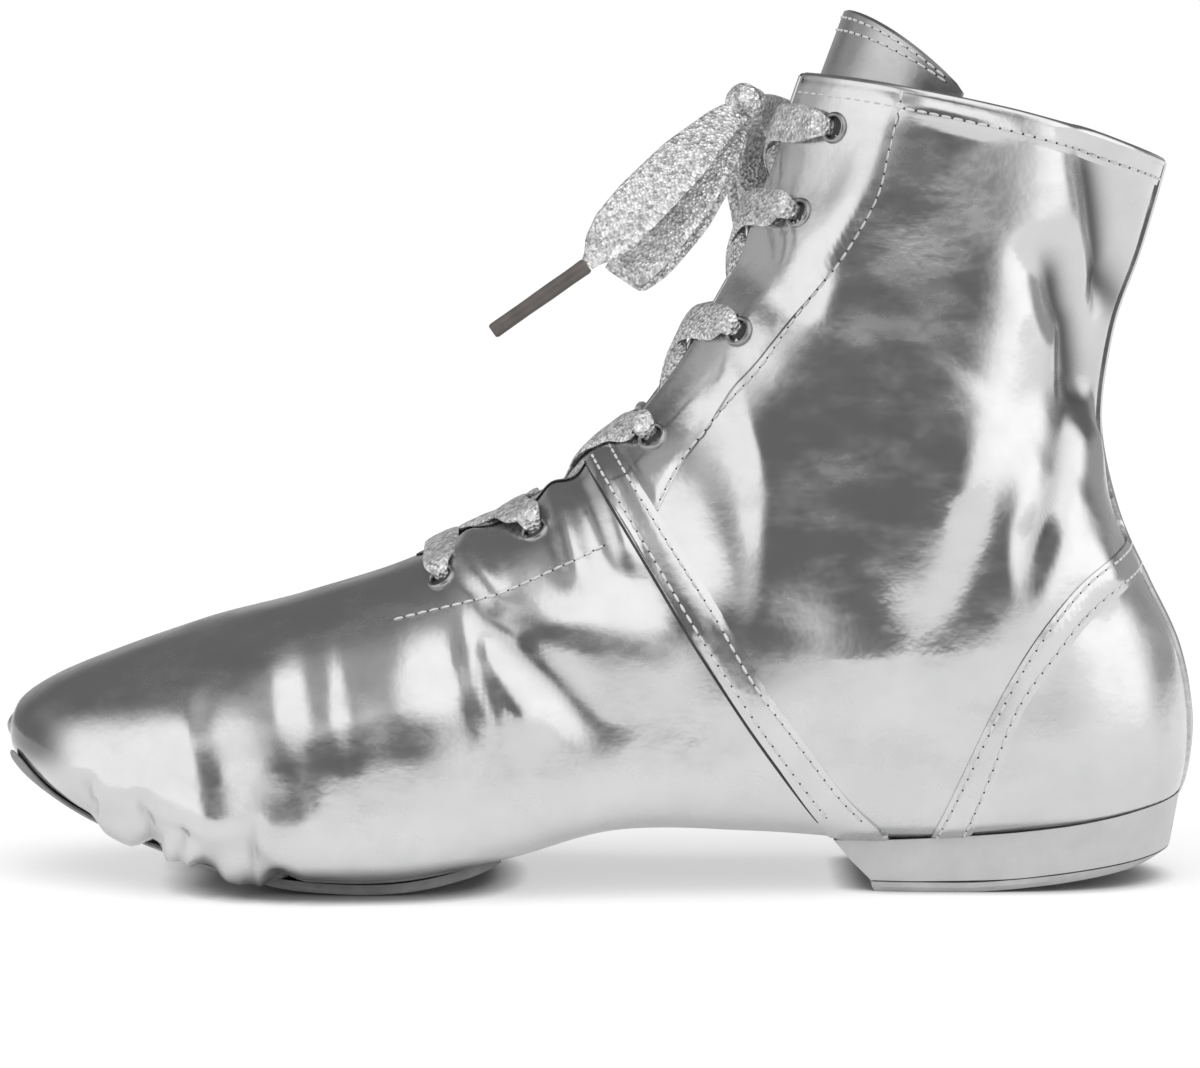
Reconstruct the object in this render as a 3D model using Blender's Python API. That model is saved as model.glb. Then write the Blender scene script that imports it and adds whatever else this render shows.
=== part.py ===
"""Left jazz boot with a split sole, six pairs of eyelets and a flat lace.

Metres, +Z up, toe towards +X, outer side of the foot towards +Y, floor at z = 0.
"""
import math

import bmesh
import bpy
import numpy as np
from mathutils import Vector

MM = 0.001

# Driving dimensions
FRAME_ORIGIN = (0.69 * MM, 0.75 * MM, 0.0)
WALL = 1.4 * MM
GAP = 0.35 * MM
EYESTAY_LIFT = 0.7 * MM
HEM_LIFT = 0.5 * MM
OVERLAY = 0.9 * MM
SOLE_THICK = 2.0 * MM
INSOLE_THICK = 2.0 * MM
INSOLE_HEEL_RISE = 0.8 * MM
INSOLE_CLEAR = 0.55 * MM
TONGUE_THICK = 1.4 * MM
LIFT_THICK = 2.0 * MM
EYELET_HOLE = 3.1 * MM
EYELET_BORE = 2.1 * MM
EYELET_BARREL = 2.75 * MM
EYELET_FLANGE = 3.9 * MM
LACE_WIDTH = 7.5 * MM
LACE_THICK = 1.1 * MM
LACE_UNDER = 0.23 * MM
BAND_CROSSING = 1
EYELET_REACH = 6.0 * MM

# The last, a fan of sections from the toe to the collar. Each section runs from a
# point under or behind the foot to a point on top of or in front of it.
LAST_COLUMNS = ("top_x", "top_z", "low_x", "low_z", "outer", "inner", "swing", "widest", "top_power",
                "low_power", "throat", "eyestay")
LAST_ROWS = (
    (124.6, 33.2, 125.0, 28.4, 5.0, 5.0, -8.5, 0.50, 2.0, 2.0, 0.0, 0.80),
    (123.0, 36.2, 123.9, 25.3, 10.5, 10.5, -8.2, 0.48, 2.0, 2.2, 0.0, 0.80),
    (119.4, 39.2, 120.4, 21.9, 17.0, 17.0, -7.6, 0.45, 2.0, 2.8, 0.0, 0.80),
    (113.2, 42.6, 114.0, 18.0, 23.5, 23.5, -6.6, 0.42, 2.0, 3.4, 0.0, 0.80),
    (104.0, 46.4, 104.5, 13.3, 29.5, 29.5, -5.2, 0.40, 2.1, 4.0, 0.0, 0.80),
    (92.0, 50.8, 92.0, 8.8, 35.0, 34.6, -3.4, 0.39, 2.1, 4.4, 0.0, 0.80),
    (79.0, 55.2, 78.0, 4.9, 39.0, 38.4, -1.6, 0.385, 2.1, 4.6, 0.0, 0.80),
    (62.0, 59.8, 60.0, 2.2, 41.8, 41.0, -0.3, 0.385, 2.1, 4.6, 0.0, 0.80),
    (42.0, 66.0, 40.0, 2.2, 42.2, 40.4, 0.6, 0.38, 2.05, 4.6, 0.0, 0.80),
    (22.0, 75.5, 18.0, 6.9, 39.0, 36.4, 1.4, 0.36, 2.0, 4.4, 7.0, 0.84),
    (6.0, 85.2, -4.0, 12.2, 35.4, 32.4, 1.8, 0.35, 2.0, 4.2, 7.6, 0.88),
    (-5.0, 95.0, -30.0, 11.8, 32.4, 30.2, 1.5, 0.35, 2.0, 4.2, 8.0, 0.88),
    (-12.0, 104.0, -58.0, 9.6, 31.2, 30.0, 0.8, 0.36, 2.0, 4.6, 8.2, 0.87),
    (-17.3, 112.0, -84.0, 9.8, 31.0, 30.4, 0.2, 0.38, 2.0, 4.8, 8.4, 0.86),
    (-21.3, 119.0, -107.0, 11.4, 31.0, 30.4, 0.0, 0.42, 2.0, 4.4, 8.6, 0.85),
    (-24.6, 126.0, -120.2, 16.8, 30.6, 30.0, 0.0, 0.45, 2.1, 3.2, 8.7, 0.84),
    (-27.4, 132.0, -123.7, 32.0, 30.4, 30.0, 0.0, 0.47, 2.1, 2.4, 8.8, 0.83),
    (-29.9, 138.0, -121.0, 48.0, 30.2, 29.8, 0.0, 0.50, 2.1, 2.2, 8.9, 0.82),
    (-32.0, 143.5, -114.0, 63.0, 29.4, 29.0, 0.0, 0.50, 2.1, 2.2, 9.0, 0.81),
    (-34.0, 149.0, -107.7, 77.5, 28.2, 28.0, 0.0, 0.50, 2.1, 2.2, 9.0, 0.80),
    (-36.0, 154.6, -104.0, 96.5, 27.6, 27.6, 0.0, 0.50, 2.1, 2.2, 9.1, 0.78),
    (-37.6, 159.0, -106.3, 115.0, 28.0, 28.0, 0.0, 0.50, 2.1, 2.2, 9.2, 0.76),
    (-39.2, 163.5, -111.5, 131.0, 29.0, 29.0, 0.0, 0.50, 2.1, 2.2, 9.3, 0.74),
    (-40.8, 167.8, -117.0, 149.8, 30.0, 30.0, 0.0, 0.50, 2.1, 2.2, 9.4, 0.72),
)
THROAT_BASE = 8.2
EYESTAY_BASE = 10.4
HEM_BASE = 22.7
COLLAR = float(len(LAST_ROWS) - 1)
COLLAR_BOW = 2.6 * MM
COLLAR_BOW_BASE = 20.0


def column(name):
    return LAST_COLUMNS.index(name)


def last_row(station):
    """All columns of the last at one or more stations, by a smooth curve through the rows."""
    rows = np.array(LAST_ROWS, dtype=float)
    rows[:, :7] *= MM
    rows[:, 10] *= MM
    rows = np.vstack((2 * rows[0] - rows[1], rows, 2 * rows[-1] - rows[-2]))
    at = np.atleast_1d(np.asarray(station, dtype=float))
    i = np.clip(np.floor(at).astype(int), 0, len(LAST_ROWS) - 2)
    f = (at - i)[:, None]
    a, b, c, d = rows[i], rows[i + 1], rows[i + 2], rows[i + 3]
    return 0.5 * (2 * b + (c - a) * f + (2 * a - 5 * b + 4 * c - d) * f ** 2
                  + (3 * b - a - 3 * c + d) * f ** 3)


def skin(station, turn):
    """Points of the outside. turn is 0 underneath, +pi at the top by the outer side, -pi by the inner."""
    station, turn = np.broadcast_arrays(np.asarray(station, float), np.asarray(turn, float))
    row = last_row(station.ravel())
    turn = turn.ravel()
    rise = np.abs(turn) - math.pi / 2
    top = rise > 0
    power = np.where(top, row[:, column("top_power")], row[:, column("low_power")])
    reach = (np.abs(np.cos(rise)) ** power + np.abs(np.sin(rise)) ** power) ** (-1 / power)
    widest = row[:, column("widest")]
    up = widest + np.where(top, 1 - widest, widest) * reach * np.sin(rise)
    half = np.where(turn > 0, row[:, column("outer")], row[:, column("inner")])
    y = row[:, column("swing")] + np.sign(turn) * half * reach * np.cos(rise)
    x = row[:, column("low_x")] + up * (row[:, column("top_x")] - row[:, column("low_x")])
    z = row[:, column("low_z")] + up * (row[:, column("top_z")] - row[:, column("low_z")])
    bow = np.clip((station.ravel() - COLLAR_BOW_BASE) / (COLLAR - COLLAR_BOW_BASE), 0, 1) ** 2
    z = z + COLLAR_BOW * bow * 4 * up * (1 - up)
    return np.stack((x, y, z), axis=1).reshape(station.shape + (3,))


def normal(station, turn):
    station, turn = np.broadcast_arrays(np.asarray(station, float), np.asarray(turn, float))
    before = np.clip(station - 0.02, 0, COLLAR)
    after = np.clip(station + 0.02, 0, COLLAR)
    along = skin(after, turn) - skin(before, turn)
    around = skin(station, turn + 0.01) - skin(station, turn - 0.01)
    out = np.cross(along, around)
    return out / np.maximum(np.linalg.norm(out, axis=-1, keepdims=True), 1e-12)


def throat_turn(station, outer):
    """Turn at the edge of the throat; pi ahead of the throat."""
    row = last_row(station)[0]
    half = row[column("outer")] if outer else row[column("inner")]
    opening = row[column("throat")]
    near = min(max((station - THROAT_BASE) / 0.8, 0.0), 1.0)
    opening = max(opening, 6.5 * MM) * math.sqrt(near)
    return math.pi / 2 + math.acos(min(opening / half, 1.0))


def turn_at(station, share):
    """Turn at which a section has gone a share of its way up."""
    turns = np.linspace(0.0, math.pi, 361)
    row = last_row(station)[0]
    rise = turns - math.pi / 2
    power = np.where(rise > 0, row[column("top_power")], row[column("low_power")])
    reach = (np.abs(np.cos(rise)) ** power + np.abs(np.sin(rise)) ** power) ** (-1 / power)
    widest = row[column("widest")]
    up = widest + np.where(rise > 0, 1 - widest, widest) * reach * np.sin(rise)
    return float(np.interp(share, up, turns))


def station_of(x, z, outer=True):
    """Station and turn of the point of the outside seen at x, z from the side."""
    best = None
    for station in np.linspace(0.5, COLLAR, 1126):
        row = last_row(station)[0]
        low = np.array((row[column("low_x")], row[column("low_z")]))
        line = np.array((row[column("top_x")], row[column("top_z")])) - low
        step = np.array((x, z)) - low
        share = float(step @ line / (line @ line))
        miss = float(np.linalg.norm(step - share * line))
        if 0.0 < share < 1.0 and (best is None or miss < best[0]):
            best = (miss, station, share)
    turn = turn_at(best[1], best[2])
    return best[1], turn if outer else -turn


SHELL_STATIONS = (0.0, 0.4, 0.8, 1.3, 2.0, 2.5, 3.0, 3.5, 4.0, 4.5, 5.0, 5.5, 6.0, 6.5, 7.0, 7.5, 8.0, 8.2,
                  8.3, 8.6, 9.0, 9.5, 10.0, 10.39, 10.41, 11.0, 12.0, 12.5, 13.0, 13.5, 14.0, 14.5,
                  15.0, 15.5, 16.0, 17.0, 18.0, 19.0, 20.0, 21.0, 22.0, 22.68, 22.72, 23.0)
LOW_COLUMNS = 10
FACING_COLUMNS = 3

# Bottom openings of the upper: first station, last station, columns each side of the middle
BOTTOM_OPENINGS = ((5.0, 8.0, 2), (12.0, 14.0, 2))

# Forefoot sole: station, half width as a turn from the middle
SOLE_ROWS = ((1.3, 0.95), (1.6, 1.02), (2.0, 1.0), (2.5, 0.88), (3.0, 0.72), (3.5, 0.60), (4.0, 0.55), (5.0, 0.55),
             (6.0, 0.58), (7.0, 0.61), (8.0, 0.60), (8.3, 0.56), (8.6, 0.46), (8.75, 0.36), (8.85, 0.2))

# Insole: station, half width as a turn
INSOLE_ROWS = ((2.0, 0.35), (2.5, 0.5), (3.0, 0.56), (4.0, 0.58), (12.0, 0.56), (14.0, 0.52), (14.2, 0.47),
               (14.35, 0.38), (14.45, 0.26), (14.5, 0.14))

# Tongue: station, half width as a turn
TONGUE_ROWS = ((7.2, 0.22), (8.0, 0.36), (9.0, 0.5), (12.0, 0.72), (16.0, 0.92), (20.0, 1.1), (22.0, 1.3), (23.0, 1.4))
TONGUE_RISE = 16.0 * MM
TONGUE_CORNER_RISE = 1.4 * MM
TONGUE_CLEAR = 0.65 * MM
TONGUE_TOP_IN = 2.6 * MM
TONGUE_TOP_POWER = 2.2

# Heel wedge: top_x, top_half, top_z, foot_x, foot_half, rise of its foot off the floor
HEEL_ROWS = (
    (-48.3, 22.6, 10.6, -56.0, 22.8, 0.0),
    (-62.0, 24.3, 11.0, -66.0, 24.0, 0.0),
    (-82.0, 24.9, 12.2, -83.0, 24.4, 0.4),
    (-95.0, 25.2, 13.6, -94.0, 23.8, 1.4),
    (-105.0, 24.2, 15.3, -103.5, 21.8, 2.5),
    (-112.0, 21.9, 16.9, -110.5, 18.4, 3.4),
    (-117.0, 17.7, 18.0, -115.3, 13.8, 4.1),
    (-120.4, 11.6, 18.8, -118.6, 8.2, 4.6),
    (-121.8, 4.4, 19.0, -120.0, 2.8, 4.8),
)
# Rubber lift under the wedge: top_x, top_half, foot_x, foot_half, rise of its foot off the floor
LIFT_ROWS = (
    (-56.2, 22.7, -56.8, 22.5, 0.0),
    (-66.0, 23.9, -66.0, 23.6, 0.0),
    (-76.0, 24.2, -76.0, 23.8, 0.0),
    (-83.0, 24.3, -83.0, 23.8, 0.4),
    (-94.0, 23.7, -93.5, 23.0, 1.4),
    (-103.5, 21.7, -102.5, 20.6, 2.5),
    (-110.5, 18.3, -109.0, 16.8, 3.4),
    (-115.2, 13.7, -113.2, 12.0, 4.1),
    (-118.5, 8.1, -116.0, 6.6, 4.6),
    (-119.9, 2.7, -117.2, 2.0, 4.8),
)

# Outlines seen from the side: x, z
BAND_FRONT = ((9.0, 98.0), (2.7, 88.1), (-4.1, 77.5), (-12.3, 64.2), (-20.5, 50.8), (-30.7, 35.3), (-41.0, 20.8),
              (-46.4, 13.6))
BAND_REAR = ((-57.4, 13.6), (-50.2, 21.0), (-40.9, 33.4), (-32.2, 45.4), (-23.9, 59.6), (-16.3, 71.4), (-8.1, 84.2),
             (0.0, 97.0))
STRAP_UPPER = ((-118.0, 73.6), (-106.5, 70.2), (-98.0, 64.5), (-88.6, 53.0), (-80.4, 38.7), (-74.2, 25.4),
               (-69.0, 13.8))
STRAP_LOWER = ((-77.2, 14.4), (-81.4, 25.4), (-86.6, 38.7), (-94.6, 50.0), (-101.0, 57.6), (-110.5, 64.0),
               (-124.0, 67.4))

# Eyelets from the toe end up: x, z seen from the side
EYELETS = ((32.6, 65.2), (13.4, 74.6), (-10.7, 93.8), (-28.4, 115.6), (-40.5, 139.8), (-47.6, 157.2))

# Bow: x, y, z along each piece, with its width and thickness there
KNOT_AT = (-30.5, 2.0, 161.5)
KNOT_SIZE = (9.0, 12.0, 11.0)
OUTER_LOOP_EXIT = (0.6, 0.1, -0.79)
OUTER_LOOP = ((-20.5, 8.0, 148.0, 8.4, 3.6), (-12.0, 13.5, 136.5, 9.2, 5.0), (-5.5, 16.0, 127.5, 8.6, 4.6),
              (-2.2, 17.0, 122.8, 6.0, 3.0))
OUTER_END_EXIT = (0.55, 0.8, -0.25)
OUTER_END = ((-19.5, 15.0, 151.5, 8.2, 1.2), (-9.0, 20.0, 140.5, 8.6, 1.2), (-1.8, 21.3, 133.4, 6.0, 1.4),
             (2.6, 21.5, 129.3, 3.4, 2.0))
OUTER_AGLET = ((2.9, 21.5, 129.0), (22.0, 22.0, 115.6))
INNER_LOOP_EXIT = (-0.1, -0.72, -0.69)
INNER_LOOP = ((-31.5, -13.0, 150.5, 8.4, 3.4), (-34.5, -24.0, 139.5, 9.2, 4.8), (-36.0, -31.0, 127.0, 8.6, 4.4),
              (-36.5, -33.0, 120.0, 6.0, 3.0))
INNER_END_EXIT = (-0.1, -0.9, 0.42)
INNER_END = ((-35.5, -16.0, 166.5, 8.0, 1.2), (-43.5, -29.5, 160.0, 8.4, 1.2), (-49.5, -35.5, 149.0, 8.6, 1.2),
             (-52.0, -37.4, 136.0, 6.0, 1.4), (-52.5, -37.6, 129.5, 3.4, 2.0))
INNER_AGLET = ((-52.52, -37.6, 129.1), (-53.0, -38.4, 106.5))
AGLET_RADIUS = 1.6 * MM


def ring_turns(station):
    """Turns of one ring, inner throat edge to outer throat edge, doubled at the eyestay edge."""
    share = last_row(station)[0][column("eyestay")]
    sides = []
    for outer in (True, False):
        edge = throat_turn(station, outer)
        seam = min(turn_at(station, share), edge - 0.12)
        turns = list(np.linspace(0.0, seam, LOW_COLUMNS))
        turns += list(np.linspace(seam + 0.02, edge, FACING_COLUMNS + 1))
        sides.append(turns)
    inner = [-t for t in reversed(sides[1])]
    return np.array(inner[:-1] + sides[0])


def lift_at(station, turn):
    """Height of the eyestay step above the plain surface."""
    share = last_row(station)[0][column("eyestay")]
    raised = station >= EYESTAY_BASE and abs(turn) > turn_at(station, share)
    return EYESTAY_LIFT if raised else 0.0


def shell_layer(offset, with_lift=True):
    """Grid of points at one offset from the last's surface, steps of eyestay and hem included."""
    rows = []
    for station in SHELL_STATIONS:
        turns = ring_turns(station)
        lift = np.zeros(len(turns))
        if with_lift:
            if station >= EYESTAY_BASE:
                lift[:FACING_COLUMNS + 1] += EYESTAY_LIFT
                lift[-FACING_COLUMNS - 1:] += EYESTAY_LIFT
            if station >= HEM_BASE:
                lift += HEM_LIFT
        points = skin(station, turns) + normal(station, turns) * (offset + lift)[:, None]
        rows.append(points)
    return np.array(rows)


def add_object(name, vertices, faces, colour):
    mesh = bpy.data.meshes.new(name)
    mesh.from_pydata([tuple(map(float, v)) for v in vertices], [], faces)
    work = bmesh.new()
    work.from_mesh(mesh)
    bmesh.ops.remove_doubles(work, verts=work.verts, dist=1e-6)
    bmesh.ops.dissolve_degenerate(work, edges=work.edges, dist=1e-6)
    bmesh.ops.recalc_face_normals(work, faces=work.faces)
    work.to_mesh(mesh)
    work.free()
    thing = bpy.data.objects.new(name, mesh)
    bpy.context.collection.objects.link(thing)
    if colour is not None:
        mesh.materials.append(colour)
    return thing


def combine(thing, tool, operation):
    """Apply one Boolean with another object and remove that object."""
    change = thing.modifiers.new("join", "BOOLEAN")
    change.operation = operation
    change.solver = "EXACT"
    change.object = tool
    graph = bpy.context.evaluated_depsgraph_get()
    made = bpy.data.meshes.new_from_object(thing.evaluated_get(graph))
    thing.modifiers.clear()
    old = thing.data
    colours = list(old.materials)
    thing.data = made
    made.materials.clear()
    for colour in colours:
        made.materials.append(colour)
    for face in made.polygons:
        face.material_index = 0
    name = old.name
    bpy.data.meshes.remove(old)
    made.name = name
    bpy.data.objects.remove(tool)
    work = bmesh.new()
    work.from_mesh(made)
    bmesh.ops.remove_doubles(work, verts=work.verts, dist=2e-6)
    bmesh.ops.dissolve_degenerate(work, edges=work.edges, dist=2e-6)
    work.to_mesh(made)
    work.free()


def shell(name, low, high, colour, lifted_low=False, openings=()):
    """Closed shell between two offsets of the last, open at throat and collar."""
    out = shell_layer(high)
    ins = shell_layer(low, lifted_low)
    rows, cols = out.shape[:2]
    middle = cols // 2
    vertices = np.vstack((out.reshape(-1, 3), ins.reshape(-1, 3)))
    shift = rows * cols
    opened = np.zeros((rows + 1, cols + 1), dtype=bool)
    for first, last, wide in openings:
        i0 = SHELL_STATIONS.index(first)
        i1 = SHELL_STATIONS.index(last)
        opened[i0:i1, middle - wide:middle + wide] = True
    faces = []
    for i in range(rows - 1):
        for j in range(cols - 1):
            a = i * cols + j
            if not opened[i, j]:
                faces.append((a, a + cols, a + cols + 1, a + 1))
                faces.append((shift + a, shift + a + 1, shift + a + cols + 1, shift + a + cols))
            if opened[i, j] != opened[i, j - 1]:
                faces.append((a, a + cols, shift + a + cols, shift + a))
            if opened[i, j] != opened[i - 1, j]:
                faces.append((a, a + 1, shift + a + 1, shift + a))
    for i in range(rows - 1):
        if SHELL_STATIONS[i + 1] <= THROAT_BASE:
            continue
        for j in (0, cols - 1):
            a = i * cols + j
            faces.append((a, a + cols, shift + a + cols, shift + a))
    end = (rows - 1) * cols
    for j in range(cols - 1):
        faces.append((end + j, end + j + 1, shift + end + j + 1, shift + end + j))
    faces.append(tuple(range(cols - 1)))
    faces.append(tuple(shift + j for j in range(cols - 1)))
    return add_object(name, vertices, faces, colour)


def slab(name, upper_rows, lower_rows, colour):
    """Closed sheet between two grids of points of the same size."""
    top = np.array(upper_rows)
    low = np.array(lower_rows)
    rows, cols = top.shape[:2]
    vertices = np.vstack((top.reshape(-1, 3), low.reshape(-1, 3)))
    shift = rows * cols
    faces = []
    for i in range(rows - 1):
        for j in range(cols - 1):
            a = i * cols + j
            faces.append((a, a + cols, a + cols + 1, a + 1))
            faces.append((shift + a, shift + a + 1, shift + a + cols + 1, shift + a + cols))
    for i in range(rows - 1):
        for j in (0, cols - 1):
            a = i * cols + j
            faces.append((a, a + cols, shift + a + cols, shift + a))
    for i in (0, rows - 1):
        for j in range(cols - 1):
            a = i * cols + j
            faces.append((a, a + 1, shift + a + 1, shift + a))
    return add_object(name, vertices, faces, colour)


def rows_at(table, stations):
    keys = [row[0] for row in table]
    return np.interp(stations, keys, [row[1] for row in table])


def place(station, turn, offset):
    """One point at an offset from the outside."""
    spot = skin(station, turn) + normal(station, turn) * offset
    return Vector(tuple(spot)), Vector(tuple(normal(station, turn)))


def insole(colour):
    stations = [s for s in SHELL_STATIONS if 2.0 <= s <= 14.0]
    stations += [14.2, 14.35, 14.45, 14.5]
    top = []
    low = []
    for station, half in zip(stations, rows_at(INSOLE_ROWS, stations)):
        turns = np.linspace(-half, half, 9)
        inside = WALL + INSOLE_CLEAR + INSOLE_HEEL_RISE * min(max(station - 13.5, 0.0), 1.0)
        top.append(skin(station, turns) - normal(station, turns) * (inside + INSOLE_THICK))
        low.append(skin(station, turns) - normal(station, turns) * inside)
    return slab("insole", top, low, colour)


def forefoot_sole(colour):
    stations = [s for s in SHELL_STATIONS if 1.3 <= s <= 8.5]
    stations += [8.6, 8.75, 8.85]
    top = []
    low = []
    for station, half in zip(stations, rows_at(SOLE_ROWS, stations)):
        turns = np.linspace(-half, half, 11)
        out = normal(station, turns)
        top.append(skin(station, turns) + out * GAP)
        bottom = skin(station, turns) + out * (GAP + SOLE_THICK)
        bottom[:, 2] = np.maximum(bottom[:, 2], 0.0)
        low.append(bottom)
    return slab("forefoot_sole", top, low, colour)


def wedge(name, rows, colour):
    """Loft between an upper and a lower outline given row by row from front to back."""
    top = []
    low = []
    for top_x, top_half, top_z, foot_x, foot_half, foot_z in rows:
        top.append([(top_x * MM, s * top_half * MM, top_z * MM) for s in (-1, -0.5, 0, 0.5, 1)])
        low.append([(foot_x * MM, s * foot_half * MM, foot_z * MM) for s in (-1, -0.5, 0, 0.5, 1)])
    return slab(name, top, low, colour)


def heel_form():
    """Closed form of the rear foot, a gap outside the upper, that hollows the heel's top."""
    layer = shell_layer(GAP)
    rows = [i for i, s in enumerate(SHELL_STATIONS) if 10.9 <= s <= 18.1]
    part = layer[rows]
    count, cols = part.shape[:2]
    vertices = part.reshape(-1, 3)
    faces = []
    for i in range(count - 1):
        for j in range(cols):
            a = i * cols + j
            b = i * cols + (j + 1) % cols
            faces.append((a, a + cols, b + cols, b))
    faces.append(tuple(range(cols)))
    faces.append(tuple((count - 1) * cols + j for j in range(cols)))
    return add_object("heel_form", vertices, faces, None)


def heel(colour, rubber):
    gap_z = LIFT_THICK / MM + 0.3
    block = wedge("heel_block", [row[:5] + (row[5] + gap_z,) for row in HEEL_ROWS], colour)
    combine(block, heel_form(), "DIFFERENCE")
    flat = LIFT_THICK / MM
    wedge("heel_top_piece", [(a, b, flat + rise, c, d, rise) for a, b, c, d, rise in LIFT_ROWS], rubber)


def tongue(colour):
    stations = [7.2, 7.6, 8.0, 8.4, 8.8, 9.2, 9.6, 10.0, 10.5, 11.0, 12.0, 13.0, 14.0, 15.0, 16.0, 17.0, 18.0, 19.0,
                20.0, 21.0, 22.0, 23.0]
    shares = np.linspace(-1.0, 1.0, 11)
    lean = skin(COLLAR, math.pi) - skin(COLLAR - 1.0, math.pi)
    lean = lean / np.linalg.norm(lean)
    top = []
    low = []
    for station, half in zip(stations, rows_at(TONGUE_ROWS, stations)):
        turns = np.where(shares >= 0, math.pi - shares * half, -math.pi - shares * half)
        out = normal(station, turns)
        inside = WALL + TONGUE_CLEAR + TONGUE_TOP_IN * min(max((station - 19.0) / 4.0, 0.0), 1.0)
        top.append(skin(station, turns) - out * inside)
        low.append(skin(station, turns) - out * (inside + TONGUE_THICK))
    rise = TONGUE_CORNER_RISE + (TONGUE_RISE - TONGUE_CORNER_RISE) * (1 - np.abs(shares) ** TONGUE_TOP_POWER)
    for part in (0.34, 0.67, 1.0):
        top.append(top[21] + lean * (rise * part)[:, None])
        low.append(low[21] + lean * (rise * part)[:, None])
    return slab("tongue", top, low, colour)


def prism(name, outline, first_y, last_y):
    """Side outline carried from one y to another."""
    count = len(outline)
    vertices = [(x * MM, first_y, z * MM) for x, z in outline]
    vertices += [(x * MM, last_y, z * MM) for x, z in outline]
    faces = [tuple(range(count)), tuple(range(2 * count - 1, count - 1, -1))]
    for i in range(count):
        j = (i + 1) % count
        faces.append((i, count + i, count + j, j))
    return add_object(name, vertices, faces, None)


def overlay(name, outline, first_y, last_y, colour):
    """Piece of a thin shell just outside the upper, cut by a side outline."""
    piece = shell(name, GAP, GAP + OVERLAY, colour, lifted_low=True)
    combine(piece, prism("outline", outline, first_y, last_y), "INTERSECT")
    return piece


def turned(name, profile, centre, axis, colour, count=8):
    """Ring turned about an axis from a closed profile of radius and height."""
    side = axis.orthogonal().normalized()
    other = axis.cross(side)
    vertices = []
    for i in range(count):
        angle = 2 * math.pi * i / count
        way = side * math.cos(angle) + other * math.sin(angle)
        for radius, height in profile:
            vertices.append(centre + way * radius + axis * height)
    faces = []
    size = len(profile)
    for i in range(count):
        for j in range(size):
            a = i * size + j
            b = i * size + (j + 1) % size
            c = ((i + 1) % count) * size + (j + 1) % size
            d = ((i + 1) % count) * size + j
            faces.append((a, b, c, d))
    return add_object(name, vertices, faces, colour)


def drum(name, centre, axis, radius, low, high, count=10):
    side = axis.orthogonal().normalized()
    other = axis.cross(side)
    vertices = []
    for height in (low, high):
        for i in range(count):
            angle = 2 * math.pi * i / count
            way = side * math.cos(angle) + other * math.sin(angle)
            vertices.append(centre + way * radius + axis * height)
    faces = [tuple(range(count)), tuple(range(2 * count - 1, count - 1, -1))]
    for i in range(count):
        j = (i + 1) % count
        faces.append((i, j, count + j, count + i))
    return add_object(name, vertices, faces, None)


def eyelet_places():
    """Station, turn and side name of every eyelet, toe end first."""
    spots = []
    for x, z in EYELETS:
        for outer in (True, False):
            station, turn = station_of(x * MM, z * MM, outer)
            spots.append((station, turn, outer))
    return spots


def eyelets(upper, colour):
    names = {True: "outer", False: "inner"}
    for number, (station, turn, outer) in enumerate(eyelet_places()):
        lift = lift_at(station, turn)
        centre, axis = place(station, turn, lift)
        hole = drum("hole", centre, axis, EYELET_HOLE, -6 * MM, 4 * MM)
        combine(upper, hole, "DIFFERENCE")
        depth = WALL + lift
        profile = ((EYELET_BORE, -depth), (EYELET_BARREL, -depth), (EYELET_BARREL, GAP), (EYELET_FLANGE, GAP),
                   (EYELET_FLANGE - 0.5 * MM, GAP + 0.7 * MM), (EYELET_BORE, GAP + 0.5 * MM))
        turned("eyelet_%s_%d" % (names[outer], number // 2 + 1), profile, centre, axis, colour)


def ribbon(name, rows, colour):
    """Flat strip through rows of place, face direction, width and thickness."""
    count = len(rows)
    vertices = []
    for i, (spot, face, width, thick) in enumerate(rows):
        ahead = rows[min(i + 1, count - 1)][0] - rows[max(i - 1, 0)][0]
        ahead.normalize()
        across = face.cross(ahead).normalized()
        up = ahead.cross(across).normalized()
        for a, b in ((-0.5, -0.5), (0.5, -0.5), (0.5, 0.5), (-0.5, 0.5)):
            vertices.append(spot + across * (a * width) + up * (b * thick))
    faces = [(0, 1, 2, 3), tuple(4 * count - 4 + k for k in range(4))]
    for i in range(count - 1):
        for k in range(4):
            m = (k + 1) % 4
            faces.append((4 * i + k, 4 * i + m, 4 * i + 4 + m, 4 * i + 4 + k))
    return add_object(name, vertices, faces, colour)


def crossing_rows(high, low, sign, raised):
    """Strip from beside the upper eyelet of one side, over the facing, into the throat."""
    station, turn = high[0], abs(high[1])
    end = low[0]
    edge = throat_turn(station, sign > 0)
    open_turn = math.pi - edge
    half = last_row(station)[0][column("outer")]
    start = turn + EYELET_REACH / half
    over = EYESTAY_LIFT + GAP + 0.15 * MM + LACE_THICK / 2 + raised
    plan = ((station, start, over), (station + 0.12 * (end - station), (start + edge) / 2, over + 0.1 * MM),
            (station + 0.27 * (end - station), edge + 0.2 * open_turn, over + 0.2 * MM),
            (station + 0.40 * (end - station), edge + 0.7 * open_turn, over - 0.1 * MM),
            (station + 0.52 * (end - station), edge + 1.05 * open_turn, over - 0.4 * MM),
            (station + 0.62 * (end - station), edge + 1.4 * open_turn, over - 0.7 * MM))
    rows = []
    for at, round_to, offset in plan:
        under = LACE_UNDER * min(round_to / math.pi, 1.0) if sign < 0 else 0.0
        spot, face = place(at, sign * round_to, offset - under)
        rows.append((spot, face, LACE_WIDTH, LACE_THICK))
    return rows


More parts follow.
